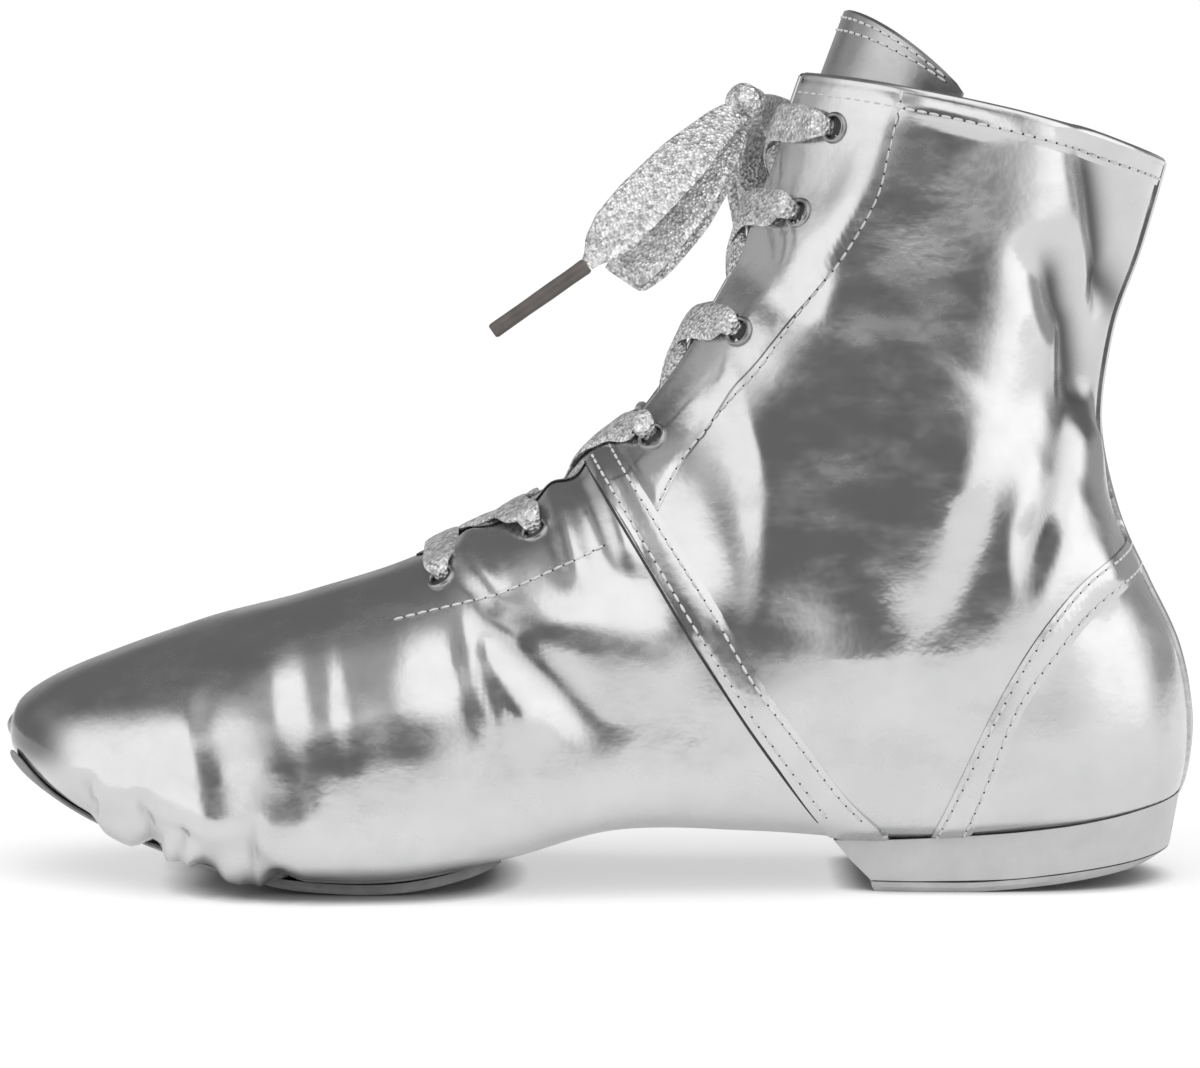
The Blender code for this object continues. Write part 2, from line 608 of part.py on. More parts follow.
def lace(colour):
    spots = eyelet_places()
    outer = spots[0::2]
    inner = spots[1::2]
    station, turn = outer[0][0], outer[0][1]
    half = last_row(station)[0][column("outer")]
    first = turn + EYELET_REACH / half
    over = GAP + 0.3 * MM + LACE_THICK / 2
    rows = []
    for share in np.linspace(0.0, 1.0, 11):
        swing = first + share * (2 * math.pi - 2 * first)
        spot, face = place(station, swing if swing <= math.pi else swing - 2 * math.pi, over)
        rows.append((spot, face, LACE_WIDTH, LACE_THICK))
    ribbon("lace_bar", rows, colour)
    for i in range(5):
        raised = OVERLAY + GAP if i == BAND_CROSSING else 0.0
        one = ribbon("lace_crossing_%d" % (i + 1), crossing_rows(outer[i + 1], outer[i], 1, raised), colour)
        two = ribbon("strip", crossing_rows(inner[i + 1], inner[i], -1, raised), colour)
        combine(one, two, "UNION")


def knot_exit(way):
    """Point just outside the knot in one direction."""
    size = math.sqrt(sum((w / (0.5 * s)) ** 2 for w, s in zip(way, KNOT_SIZE)))
    return tuple(c + w * (1.0 / size + 0.35) for c, w in zip(KNOT_AT, way))


def bow_strip(name, way, table, colour):
    rows = []
    for x, y, z, width, thick in (knot_exit(way) + (5.5, 1.2),) + table:
        side = 1.0 if way[1] > 0 else -1.0
        rows.append((Vector((x, y, z)) * MM, Vector((0.35, side, 0.15)).normalized(), width * MM, thick * MM))
    return ribbon(name, rows, colour)


def bow(colour, tip_colour):
    bow_strip("lace_loop_outer", OUTER_LOOP_EXIT, OUTER_LOOP, colour)
    bow_strip("lace_end_outer", OUTER_END_EXIT, OUTER_END, colour)
    bow_strip("lace_loop_inner", INNER_LOOP_EXIT, INNER_LOOP, colour)
    bow_strip("lace_end_inner", INNER_END_EXIT, INNER_END, colour)
    for name, (start, stop) in (("aglet_outer", OUTER_AGLET), ("aglet_inner", INNER_AGLET)):
        first = Vector(start) * MM
        last = Vector(stop) * MM
        axis = (last - first).normalized()
        tube = drum(name, first, axis, AGLET_RADIUS, 0.3 * MM, (last - first).length, 8)
        tube.data.materials.append(tip_colour)
    rings = 7
    count = 12
    vertices = []
    for i in range(rings):
        lat = math.pi * (i + 0.5) / rings - math.pi / 2
        for j in range(count):
            lon = 2 * math.pi * j / count
            way = (math.cos(lat) * math.cos(lon), math.cos(lat) * math.sin(lon), math.sin(lat))
            vertices.append([(c + 0.5 * s * w) * MM for c, s, w in zip(KNOT_AT, KNOT_SIZE, way)])
    faces = [tuple(range(count)), tuple((rings - 1) * count + j for j in range(count))]
    for i in range(rings - 1):
        for j in range(count):
            k = (j + 1) % count
            faces.append((i * count + j, i * count + k, (i + 1) * count + k, (i + 1) * count + j))
    add_object("lace_knot", vertices, faces, colour)


def material(name, colour, metallic, roughness):
    made = bpy.data.materials.new(name)
    made.use_nodes = True
    shader = made.node_tree.nodes["Principled BSDF"]
    shader.inputs["Base Color"].default_value = colour
    shader.inputs["Metallic"].default_value = metallic
    shader.inputs["Roughness"].default_value = roughness
    return made


def main():
    for thing in list(bpy.data.objects):
        bpy.data.objects.remove(thing)
    silver = material("silver_upper", (0.72, 0.72, 0.73, 1.0), 0.9, 0.28)
    band = material("silver_band", (0.74, 0.74, 0.75, 1.0), 0.9, 0.28)
    facing = material("silver_tongue", (0.70, 0.70, 0.71, 1.0), 0.9, 0.32)
    lining = material("insole_lining", (0.45, 0.44, 0.43, 1.0), 0.0, 0.8)
    patch = material("sole_patch", (0.30, 0.30, 0.31, 1.0), 0.0, 0.75)
    wedge_grey = material("heel_grey", (0.62, 0.62, 0.62, 1.0), 0.2, 0.5)
    rubber = material("heel_rubber", (0.55, 0.55, 0.55, 1.0), 0.0, 0.7)
    ring = material("eyelet_metal", (0.75, 0.75, 0.76, 1.0), 1.0, 0.25)
    cord = material("lace_lurex", (0.70, 0.70, 0.70, 1.0), 0.6, 0.4)
    tip = material("aglet_plastic", (0.20, 0.18, 0.17, 1.0), 0.0, 0.35)
    upper = shell("upper", -WALL, 0.0, silver, openings=BOTTOM_OPENINGS)
    insole(lining)
    forefoot_sole(patch)
    heel(wedge_grey, rubber)
    tongue(facing)
    overlay("band_outer", BAND_FRONT + BAND_REAR, 3 * MM, 70 * MM, band)
    overlay("band_inner", BAND_FRONT + BAND_REAR, -70 * MM, -3 * MM, band)
    overlay("heel_strap", STRAP_UPPER + STRAP_LOWER, -70 * MM, 70 * MM, band)
    eyelets(upper, ring)
    lace(cord)
    bow(cord, tip)
    for thing in bpy.data.objects:
        for vertex in thing.data.vertices:
            vertex.co -= Vector(FRAME_ORIGIN)


if __name__ == "__main__":
    main()
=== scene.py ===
import math

import bmesh
import bpy
import numpy as np
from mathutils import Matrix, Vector, noise
from mathutils.bvhtree import BVHTree


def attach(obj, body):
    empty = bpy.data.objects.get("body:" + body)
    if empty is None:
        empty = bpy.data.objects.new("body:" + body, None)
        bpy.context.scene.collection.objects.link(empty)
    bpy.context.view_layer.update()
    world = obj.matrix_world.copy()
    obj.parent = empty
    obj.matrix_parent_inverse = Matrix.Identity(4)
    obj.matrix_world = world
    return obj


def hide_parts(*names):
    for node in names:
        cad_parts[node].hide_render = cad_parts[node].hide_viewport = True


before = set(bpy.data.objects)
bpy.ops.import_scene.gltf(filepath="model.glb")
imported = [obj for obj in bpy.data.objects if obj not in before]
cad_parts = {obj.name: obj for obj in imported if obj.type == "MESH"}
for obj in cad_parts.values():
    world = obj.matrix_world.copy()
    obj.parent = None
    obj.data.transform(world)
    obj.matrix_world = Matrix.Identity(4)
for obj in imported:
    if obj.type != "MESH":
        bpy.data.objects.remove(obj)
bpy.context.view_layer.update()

MM = 0.001
FRAME_ORIGIN = np.array((0.69, 0.75, 0.0)) * MM

# Sizes of the boot, as in its source
WALL = 1.4 * MM
GAP = 0.35 * MM
SOLE_THICK = 2.0 * MM
INSOLE_THICK = 2.0 * MM
INSOLE_CLEAR = 0.55 * MM
INSOLE_HEEL_RISE = 0.8 * MM
INSOLE_HEEL_BASE = 13.5
TONGUE_THICK = 1.4 * MM
TONGUE_CLEAR = 0.65 * MM
TONGUE_RISE = 16.0 * MM
TONGUE_TOP_IN = 2.6 * MM
TONGUE_TOP_BASE = 19.0
TONGUE_TOP_POWER = 2.2
TONGUE_CORNER_RISE = 1.4 * MM
LIFT_THICK = 2.0 * MM
THROAT_BASE = 8.2
THROAT_ROUND = 0.8
THROAT_LEAST = 6.5 * MM
COLLAR_BOW = 2.6 * MM
COLLAR_BOW_BASE = 20.0

# Sizes of the finish; the front patch thins out towards the toe between two stations
SOLE_TOE_SHARE = 0.45
SOLE_TAPER = (5.6, 7.0)
EYESTAY_LIFT = 0.7 * MM
VAMP_EDGE_LIFT = 0.3 * MM
FACING_BASE = 10.5
HEM_DEPTH = 5.0 * MM
HEM_LIFT = 0.5 * MM
BAND_LIFT = 0.95 * MM
STRAP_LIFT = 0.65 * MM
SEAM_HALF = 5.0 * MM
SEAM_LIFT = 1.0 * MM
SEAM_ROUND = 0.5 * MM
SEAM_BASE = 15.0
SEAM_TURN = 0.9
STRAP_TOP = 110.0
STRAP_FRONT = -40.0
TOE_BULGE = 1.1 * MM
CUT_RADIUS = 2.7 * MM
EDGE_ROUND = 2.0 * MM
ROW_STEP = 1.3 * MM
COLUMNS = 219
LACE_WIDTH = 8.0 * MM
LACE_THICK = 1.3 * MM
STITCH_PITCH = 2.5 * MM
STITCH_LENGTH = 2.0 * MM
STITCH_RADIUS = 0.28 * MM

LAST_COLUMNS = ("top_x", "top_z", "low_x", "low_z", "outer", "inner", "swing", "widest", "top_power",
                "low_power", "throat")
LAST_ROWS = (
    (124.6, 33.2, 125, 28.4, 5, 5, -8.5, 0.50, 2, 2, 0),
    (123, 36.2, 123.9, 25.3, 10.5, 10.5, -8.2, 0.48, 2, 2.2, 0),
    (119.4, 39.2, 120.4, 21.9, 17, 17, -7.6, 0.45, 2, 2.8, 0),
    (113.2, 42.6, 114, 18, 23.5, 23.5, -6.6, 0.42, 2, 3.4, 0),
    (104, 46.4, 104.5, 13.3, 29.5, 29.5, -5.2, 0.40, 2.1, 4, 0),
    (92, 50.8, 92, 8.8, 35, 34.6, -3.4, 0.39, 2.1, 4.4, 0),
    (79, 55.2, 78, 4.9, 39, 38.4, -1.6, 0.385, 2.1, 4.6, 0),
    (62, 59.8, 60, 2.2, 41.8, 41, -0.3, 0.385, 2.1, 4.6, 0),
    (42, 66, 40, 2.2, 42.2, 40.4, 0.6, 0.38, 2.05, 4.6, 0),
    (22, 75.5, 18, 6.9, 39, 36.4, 1.4, 0.36, 2, 4.4, 7),
    (6, 85.2, -4, 12.2, 35.4, 32.4, 1.8, 0.35, 2, 4.2, 7.6),
    (-5, 95, -30, 11.8, 32.4, 30.2, 1.5, 0.35, 2, 4.2, 8),
    (-12, 104, -58, 9.6, 31.2, 30, 0.8, 0.36, 2, 4.6, 8.2),
    (-17.3, 112, -84, 9.8, 31, 30.4, 0.2, 0.38, 2, 4.8, 8.4),
    (-21.3, 119, -107, 11.4, 31, 30.4, 0, 0.42, 2, 4.4, 8.6),
    (-24.6, 126, -120.2, 16.8, 30.6, 30, 0, 0.45, 2.1, 3.2, 8.7),
    (-27.4, 132, -123.7, 32, 30.4, 30, 0, 0.47, 2.1, 2.4, 8.8),
    (-29.9, 138, -121, 48, 30.2, 29.8, 0, 0.50, 2.1, 2.2, 8.9),
    (-32, 143.5, -114, 63, 29.4, 29, 0, 0.50, 2.1, 2.2, 9),
    (-34, 149, -107.7, 77.5, 28.2, 28, 0, 0.50, 2.1, 2.2, 9),
    (-36, 154.6, -104, 96.5, 27.6, 27.6, 0, 0.50, 2.1, 2.2, 9.1),
    (-37.6, 159, -106.3, 115, 28, 28, 0, 0.50, 2.1, 2.2, 9.2),
    (-39.2, 163.5, -111.5, 131, 29, 29, 0, 0.50, 2.1, 2.2, 9.3),
    (-40.8, 167.8, -117, 149.8, 30, 30, 0, 0.50, 2.1, 2.2, 9.4),
)
COLLAR = float(len(LAST_ROWS) - 1)

# Forefoot sole, insole and tongue: station, half width as a turn
SOLE_ROWS = ((1.3, 0.95), (1.6, 1.02), (2, 1), (2.5, 0.88), (3, 0.72), (3.5, 0.60), (4, 0.55), (5, 0.55),
             (6, 0.58), (7, 0.61), (8, 0.60), (8.3, 0.56), (8.6, 0.46), (8.75, 0.36), (8.85, 0.2))
INSOLE_ROWS = ((2, 0.35), (2.5, 0.5), (3, 0.56), (4, 0.58), (12, 0.56), (14, 0.52), (14.2, 0.47),
               (14.35, 0.38), (14.45, 0.26), (14.5, 0.14))
TONGUE_ROWS = ((7.2, 0.22), (8, 0.36), (9, 0.5), (12, 0.72), (16, 0.92), (20, 1.1), (22, 1.3), (23, 1.4))

# Heel wedge: top_x, top_half, top_z, foot_x, foot_half, rise of its foot off the floor
HEEL_ROWS = (
    (-48.3, 22.6, 10.6, -56, 22.8, 0),
    (-62, 24.3, 11, -66, 24, 0),
    (-82, 24.9, 12.2, -83, 24.4, 0.4),
    (-95, 25.2, 13.6, -94, 23.8, 1.4),
    (-105, 24.2, 15.3, -103.5, 21.8, 2.5),
    (-112, 21.9, 16.9, -110.5, 18.4, 3.4),
    (-117, 17.7, 18, -115.3, 13.8, 4.1),
    (-120.4, 11.6, 18.8, -118.6, 8.2, 4.6),
    (-121.8, 4.4, 19, -120, 2.8, 4.8),
)
# Rubber lift under the wedge: top_x, top_half, foot_x, foot_half, rise of its foot off the floor
LIFT_ROWS = (
    (-56.2, 22.7, -56.8, 22.5, 0),
    (-66, 23.9, -66, 23.6, 0),
    (-76, 24.2, -76, 23.8, 0),
    (-83, 24.3, -83, 23.8, 0.4),
    (-94, 23.7, -93.5, 23, 1.4),
    (-103.5, 21.7, -102.5, 20.6, 2.5),
    (-110.5, 18.3, -109, 16.8, 3.4),
    (-115.2, 13.7, -113.2, 12, 4.1),
    (-118.5, 8.1, -116, 6.6, 4.6),
    (-119.9, 2.7, -117.2, 2, 4.8),
)

# Panel outlines and seams seen from the side: x, z
BAND_FRONT = ((9, 98), (2.7, 88.1), (-4.1, 77.5), (-12.3, 64.2), (-20.5, 50.8), (-30.7, 35.3), (-41, 20.8),
              (-46.4, 13.6))
BAND_REAR = ((0, 97), (-8.1, 84.2), (-16.3, 71.4), (-23.9, 59.6), (-32.2, 45.4), (-40.9, 33.4), (-50.2, 21),
             (-57.4, 13.6))
STRAP_UPPER = ((-128, 75.4), (-118, 73.6), (-106.5, 70.2), (-98, 64.5), (-88.6, 53), (-80.4, 38.7),
               (-74.2, 25.4), (-69, 13.8), (-66, 6))
STRAP_LOWER = ((-130, 68.4), (-124, 67.4), (-110.5, 64), (-101, 57.6), (-94.6, 50), (-86.6, 38.7),
               (-81.4, 25.4), (-77.2, 14.4), (-74, 6))
EYESTAY_SEAM = ((-63.4, 170), (-62.1, 163.9), (-59.5, 152.7), (-57, 142.6), (-49.9, 130), (-40.8, 118.2),
                (-33.7, 108), (-27.6, 101.2), (-21.5, 93.6), (-16.8, 87.5), (-11.3, 77.2))
VAMP_STITCH = ((42.4, 57), (28, 60.7), (17.8, 63.8), (-1.8, 72.7))

# Eyelets from the toe end up: x, z seen from the side
EYELETS = ((32.6, 65.2), (13.4, 74.6), (-10.7, 93.8), (-28.4, 115.6), (-40.5, 139.8), (-47.6, 157.2))

# Folds of the soft upper seen from the side: height, reach to the left and to the right, then x, z along it
FOLDS = (
    (1.3, 8, 10, ((43, 62), (42, 46), (37, 30), (33, 6))),
    (1.6, 5, 15, ((30, 74), (28, 64), (26, 54))),
    (0.9, 2, 3, ((27.8, 62), (26, 47.8), (22, 32))),
    (1.5, 2.4, 6, ((23, 61), (20.8, 48), (13, 30))),
    (-1.6, 4, 4.6, ((33, 65), (15.5, 51.2), (-5, 31))),
    (1.7, 8, 9, ((29, 62), (2, 56), (-30, 46))),
    (1.5, 5, 9, ((-2, 100), (-9, 80), (-18, 63), (-27, 46))),
    (3, 7, 18, ((-22, 130), (-31.5, 104), (-35.5, 78), (-32, 42), (-28, 8))),
    (1.2, 12, 9, ((-20, 54), (-40, 51), (-67.3, 47), (-84, 58), (-96, 70))),
    (-5, 5, 6.5, ((-96.5, 164), (-101.5, 144), (-109, 108))),
    (-5, 4.6, 6.4, ((-88, 138), (-93.5, 122), (-98, 113), (-99.5, 92))),
    (-2, 5, 3.2, ((-98, 122), (-94, 100), (-91, 80), (-84, 56))),
    (1.8, 14, 8, ((-90, 142), (-80, 106), (-66, 70), (-56, 38))),
    (1.6, 4.6, 12, ((-99, 132), (-93.5, 104), (-86.5, 74), (-79, 42))),
    (1.6, 7, 4, ((-104, 104), (-102, 82), (-105, 54))),
    (0.8, 2.4, 1.8, ((-56, 162.2), (-66, 160.4), (-75, 158.4), (-86, 155.6))),
    (1.8, 30, 20, ((-30, 144), (-58, 139), (-84, 134), (-110, 128))),
    (1.3, 22, 10, ((-26, 118), (-44, 105), (-66, 87), (-90, 66))),
    (2.4, 7, 15, ((-67, 190), (-57.5, 148), (-37, 122), (-20, 99), (-4, 75))),
    (-1, 7, 7, ((-33, 150.5), (-43.5, 146.5), (-54, 141.5))),
    (-1, 7, 7, ((-24, 132), (-35, 126), (-46, 119))),
    (1.8, 3.4, 2.8, ((29, 82), (26, 70), (20, 57))),
    (2, 4.2, 3, ((13, 92), (7, 76), (1, 60))),
    (1.6, 3, 2.6, ((4, 96), (-2, 80), (-8, 64))),
    (1.5, 3, 7, ((124, 29), (112, 24.5), (102.2, 21.2), (92, 20), (79.3, 16), (71, 16.4), (58, 9),
                     (46, 4))),
    (1.3, 9, 4, ((86, 50), (82.6, 30), (77, 2))),
    (2.4, 13, 5.6, ((69.5, 58), (64.5, 30), (58, 0))),
    (0.8, 5, 3, ((57, 58), (55, 42), (51, 8))),
    (2.6, 2.6, 3, ((106, 16.6), (99, 13.2), (92, 11))),
    (2.8, 2.6, 3, ((90.5, 10.8), (86, 9.2), (80.5, 8))),
    (2.8, 2.6, 3, ((79.5, 7.8), (74, 6), (66.5, 4.4))),
    (-1.1, 1.6, 1.8, ((105, 26), (104.4, 20), (102, 12))),
    (-1.1, 1.6, 1.8, ((93.6, 23), (93, 15), (91.4, 7))),
    (-1.2, 1.5, 1.7, ((83.8, 18), (84.6, 12), (86, 4))),
    (-1.2, 1.4, 1.6, ((70.2, 20), (70.6, 12), (71.6, 1))),
    (-1.2, 1.6, 2, ((66.5, 9), (64.8, 6), (62, 1))),
)
FOLD_DRIFT = 1.2
FOLD_DRIFT_SIZE = 15.0
FOLD_END = 0.3
# Folds fade out towards the middle line over these y, farther out by some more at the back
MIDDLE_FREE = (3.0, 11.0)
MIDDLE_FREE_REAR = 2.5
REAR_FROM = (-60.0, -90.0)
# Soft unevenness: height, size, seed of its noise and how its swells are drawn out
WAVES = ((0.30, 26, 0, (1, 1, 1)), (0.11, 11, 9.1, (0.45, 0.45, 1)))
GRAIN_STRETCH = (0.5, 0.5, 1)
INNER_FOLD_SHIFT = (3, -2)
INNER_FOLD_SHARE = 0.85
WORN_RANGE = (0.42, 0.66)
# Painted shade in deep troughs: fold depth in millimetres at which it is full, its reach as a share of the
# fold's reach, and the dark colour that all darkening of the foil mixes towards
SHADE_FULL_DEPTH = 4.0
SHADE_REACH = 0.42
PAINTED_SHADE_COLOUR = (0.10, 0.10, 0.101)

# Painted shade along the lower edge of the arch: strength, turns where it ends and is full, x over which it
# fades
ARCH_EDGE = (0.75, 0.70, 0.50, (40, 25), (-54, -46))

# Darker patches painted into the foil's colour, seen from the side: strength, x, z, reach along and upwards
DARK_PATCHES = ((0.85, 122, 31, 11, 6),)

# Bow: place of the knot, places along each ribbon, and the two ends of each aglet
KNOT_AT = (-30.5, 2, 161.5)
OUTER_LOOP = ((-28.5, 3, 157.5), (-23.6, 8, 149.6), (-15.8, 13, 139), (-8.6, 15.6, 130.4),
              (-3.6, 16.6, 125.4))
OUTER_END = ((-29, 5, 160.5), (-25, 9, 158), (-18, 15.5, 151.5), (-8, 20.4, 141.5), (-1.2, 21.4, 134),
             (2.6, 21.5, 129.3))
OUTER_AGLET = ((2.9, 21.5, 129), (22, 22, 115.6))
INNER_LOOP = ((-30, -3, 157.5), (-31.5, -13, 150.5), (-34.5, -24, 139.5), (-36, -31, 127),
              (-36.5, -33, 120))
INNER_END = ((-32, -2, 161.5), (-37, -16, 159), (-44, -29.5, 154), (-49.5, -35.5, 149), (-52, -37.4, 136),
             (-52.5, -37.6, 129.5))
INNER_AGLET = ((-52.52, -37.6, 129.1), (-53, -38.4, 106.5))

# Camera, from the photograph's perspective
EYE = (0.0, 1000.0, 166.0)
AIM = (0.0, 0.0, 72.0)
LENS = 143.5

# Brightness of the studio seen in the foil
STUDIO_DARK = 0.14
STUDIO_LIGHT = 1.34
STUDIO_TOP = 1.42
STUDIO_REAR_SHARE = 1.22
STUDIO_BEHIND = 0.42
STUDIO_TOE_WALL = 0.55
SUN_STRENGTH = 1.75
FLOOR_AHEAD = 0.60
FLOOR_GLOW = 0.53
# Painted contact shadow on the floor: reach of its ambient occlusion in metres, and the occlusion over which
# the glow comes back
FLOOR_SHADOW_REACH = 0.008
FLOOR_SHADOW_RANGE = (0.28, 0.82)


def through(rows, at):
    """Smooth curve through rows of numbers; at counts the rows from 0."""
    last = len(rows) - 2
    rows = np.vstack((2 * rows[0] - rows[1], rows, 2 * rows[-1] - rows[-2]))
    i = np.clip(np.floor(at).astype(int), 0, last)
    f = (at - i)[:, None]
    a, b, c, d = rows[i], rows[i + 1], rows[i + 2], rows[i + 3]
    return 0.5 * (2 * b + (c - a) * f + (2 * a - 5 * b + 4 * c - d) * f ** 2
                  + (3 * b - a - 3 * c + d) * f ** 3)


def last_row(station):
    """Columns of the last by name, at one or more stations."""
    rows = np.array(LAST_ROWS, dtype=float)
    rows[:, :LAST_COLUMNS.index("widest")] *= MM
    rows[:, LAST_COLUMNS.index("throat")] *= MM
    return dict(zip(LAST_COLUMNS, through(rows, np.atleast_1d(np.asarray(station, float))).T))


def skin(station, turn):
    """Points of the outside. turn is 0 underneath, +pi at the top by the outer side, -pi by the inner."""
    station, turn = np.broadcast_arrays(np.asarray(station, float), np.asarray(turn, float))
    row = last_row(station.ravel())
    turn = turn.ravel()
    rise = np.abs(turn) - math.pi / 2
    top = rise > 0
    power = np.where(top, row["top_power"], row["low_power"])
    reach = (np.abs(np.cos(rise)) ** power + np.abs(np.sin(rise)) ** power) ** (-1 / power)
    up = row["widest"] + np.where(top, 1 - row["widest"], row["widest"]) * reach * np.sin(rise)
    half = np.where(turn > 0, row["outer"], row["inner"])
    y = row["swing"] + np.sign(turn) * half * reach * np.cos(rise)
    x = row["low_x"] + up * (row["top_x"] - row["low_x"])
    z = row["low_z"] + up * (row["top_z"] - row["low_z"])
    bow = np.clip((station.ravel() - COLLAR_BOW_BASE) / (COLLAR - COLLAR_BOW_BASE), 0, 1) ** 2
    z = z + COLLAR_BOW * bow * 4 * up * (1 - up)
    return np.stack((x, y, z), axis=1).reshape(station.shape + (3,))


def normal(station, turn):
    station, turn = np.broadcast_arrays(np.asarray(station, float), np.asarray(turn, float))
    before = np.clip(station - 0.02, 0, COLLAR)
    after = np.clip(station + 0.02, 0, COLLAR)
    along = skin(after, turn) - skin(before, turn)
    around = skin(station, turn + 0.01) - skin(station, turn - 0.01)
    return unit(np.cross(along, around))


def unit(vectors):
    return vectors / np.maximum(np.linalg.norm(vectors, axis=-1, keepdims=True), 1e-12)


def throat_turn(station, outer):
    """Turn at the edge of the throat; pi ahead of the throat."""
    row = last_row(station)
    half = row["outer" if outer else "inner"][0]
    near = min(max((station - THROAT_BASE) / THROAT_ROUND, 0.0), 1.0)
    opening = max(row["throat"][0], THROAT_LEAST) * math.sqrt(near)
    return math.pi / 2 + math.acos(min(opening / half, 1.0))


def smooth(low, high, value):
    share = np.clip((value - low) / (high - low), 0.0, 1.0)
    return share * share * (3 - 2 * share)


def curve_through(points, count):
    """Smooth curve through points, with the same number of steps between each two."""
    return through(np.array(points, dtype=float), np.linspace(0, len(points) - 1, count))


def way_along(points):
    """Distance from the start of a line at each of its points."""
    return np.concatenate(([0.0], np.cumsum(np.linalg.norm(np.diff(points, axis=0), axis=1))))


def rows_along(at, way, rows):
    """Rows of numbers at one or more distances along a line."""
    return np.stack([np.interp(at, way, rows[:, k]) for k in range(rows.shape[1])], axis=-1)


def even(points, step):
    """The same line with points at one even spacing."""
    way = way_along(points)
    return rows_along(np.linspace(0, way[-1], max(int(round(way[-1] / step)), 1) + 1), way, points)


def side_distance(x, z, line):
    """Distance to a line seen from the side, plus to the left of its way, and the share of its length."""
    line = curve_through(line, 6 * len(line))
    start = way_along(line)
    best = np.full(x.shape, 1e9)
    signed = np.zeros(x.shape)
    share = np.zeros(x.shape)
    for k in range(len(line) - 1):
        a = line[k]
        d = line[k + 1] - a
        t = np.clip(((x - a[0]) * d[0] + (z - a[1]) * d[1]) / (d @ d), 0.0, 1.0)
        dx = x - a[0] - t * d[0]
        dz = z - a[1] - t * d[1]
        gap = np.hypot(dx, dz)
        nearer = gap < best
        best = np.where(nearer, gap, best)
        signed = np.where(nearer, np.sign(d[0] * dz - d[1] * dx) * gap, signed)
        share = np.where(nearer, (start[k] + t * (start[k + 1] - start[k])) / start[-1], share)
    return signed, share


# Fine grid of the upper

def fine_stations():
    """Stations whose rows lie one even step apart where the rows are farthest apart."""
    dense = np.linspace(0.0, COLLAR, 1401)
    ways = [np.diff(way_along(skin(dense, turn))) for turn in (0.01, 1.2, -1.2, 1.9, 2.6)]
    way = np.concatenate(([0.0], np.cumsum(np.max(ways, axis=0))))
    return np.interp(np.linspace(0, way[-1], int(way[-1] / ROW_STEP) + 1), way, dense)


def fine_turns(station):
    dense = np.linspace(-throat_turn(station, False), throat_turn(station, True), 541)
    way = way_along(skin(station, dense))
    return np.interp(np.linspace(0, way[-1], COLUMNS), way, dense)


def drift(points, size, seed):
    """Soft noise between -1 and 1 at every point, with swells of one size in millimetres."""
    shift = Vector((seed, 2.0 * seed, 3.0 * seed))
    flat = points.reshape(-1, 3) / (size * MM)
    return np.array([noise.noise(Vector(p) + shift) for p in flat]).reshape(points.shape[:-1])


def fold_height(points, turns):
    """Height in metres of the folds and the soft unevenness, and how far the colour is darkened there:
    painted shade in deep troughs and along the arch's lower edge, and darker patches.
    """
    x = points[..., 0] / MM + FOLD_DRIFT * drift(points, FOLD_DRIFT_SIZE, 1.7)
    z = points[..., 2] / MM + FOLD_DRIFT * drift(points, FOLD_DRIFT_SIZE, 5.3)
    total = np.zeros(x.shape)
    # Painted shade along the lower edge of the arch
    strength, ends, full, front, back = ARCH_EDGE
    crease = strength * smooth(ends, full, np.abs(turns)) * smooth(*front, x) * smooth(*back, x)
    sides = ((turns > 0, (0, 0), 1.0), (turns <= 0, INNER_FOLD_SHIFT, INNER_FOLD_SHARE))
    for on_this, shift, share_of in sides:
        for size, left, right, line in FOLDS:
            gap, share = side_distance(x - shift[0], z - shift[1], line)
            fade = smooth(0.0, FOLD_END, share) * smooth(0.0, FOLD_END, 1 - share)
            reach = np.where(gap > 0, left, right)
            total += np.where(on_this, share_of * size * np.exp(-(gap / reach) ** 2) * fade, 0.0)
            # Painted shade in the deepest part of a trough
            if size < 0:
                deep = min(-size / SHADE_FULL_DEPTH, 1.0) * fade ** 2
                deep = deep * np.exp(-(gap / (SHADE_REACH * reach)) ** 2)
                crease = np.maximum(crease, np.where(on_this, deep, 0.0))
    # Darker patches in the foil's colour
    for strength, at_x, at_z, reach_x, reach_z in DARK_PATCHES:
        dark_patch = strength * np.exp(-((x - at_x) / reach_x) ** 4 - ((z - at_z) / reach_z) ** 4)
        crease = np.maximum(crease, dark_patch)
    rear = MIDDLE_FREE_REAR * smooth(*REAR_FROM, points[..., 0] / MM)
    total *= smooth(MIDDLE_FREE[0] + rear, MIDDLE_FREE[1] + rear, np.abs(points[..., 1] / MM))
    for height, size, seed, stretch in WAVES:
        total += height * drift(points * np.array(stretch), size, seed)
    return total * MM, crease


stations = fine_stations()
S = np.repeat(stations[:, None], COLUMNS, axis=1)
T = np.array([fine_turns(s) for s in stations])
BASE = skin(S, T)
NORMAL = normal(S, T)
# Heights of the folds, and the darkening painted into the foil's colour
HEIGHT, PAINTED_DARKENING = fold_height(BASE, T)
FACE = BASE + NORMAL * HEIGHT[..., None]
FACE[..., 2] = np.maximum(FACE[..., 2], 0.3 * MM)
INDEX = np.arange(S.size).reshape(S.shape)
INDEX[stations <= THROAT_BASE, -1] = INDEX[stations <= THROAT_BASE, 0]
QUADS = np.stack((INDEX[:-1, :-1], INDEX[1:, :-1], INDEX[1:, 1:], INDEX[:-1, 1:]), axis=2).reshape(-1, 4)
TRIANGLES = np.vstack((QUADS[:, (0, 1, 2)], QUADS[:, (0, 2, 3)]))
SIDE_X = BASE[..., 0] / MM
SIDE_Z = BASE[..., 2] / MM
TO_COLLAR = np.zeros(S.shape)
TO_COLLAR[:-1] = np.cumsum(np.linalg.norm(np.diff(BASE, axis=0), axis=2)[::-1], axis=0)[::-1]
FACE_NORMAL = unit(np.cross(np.gradient(FACE, axis=0), np.gradient(FACE, axis=1)))


# Meshes

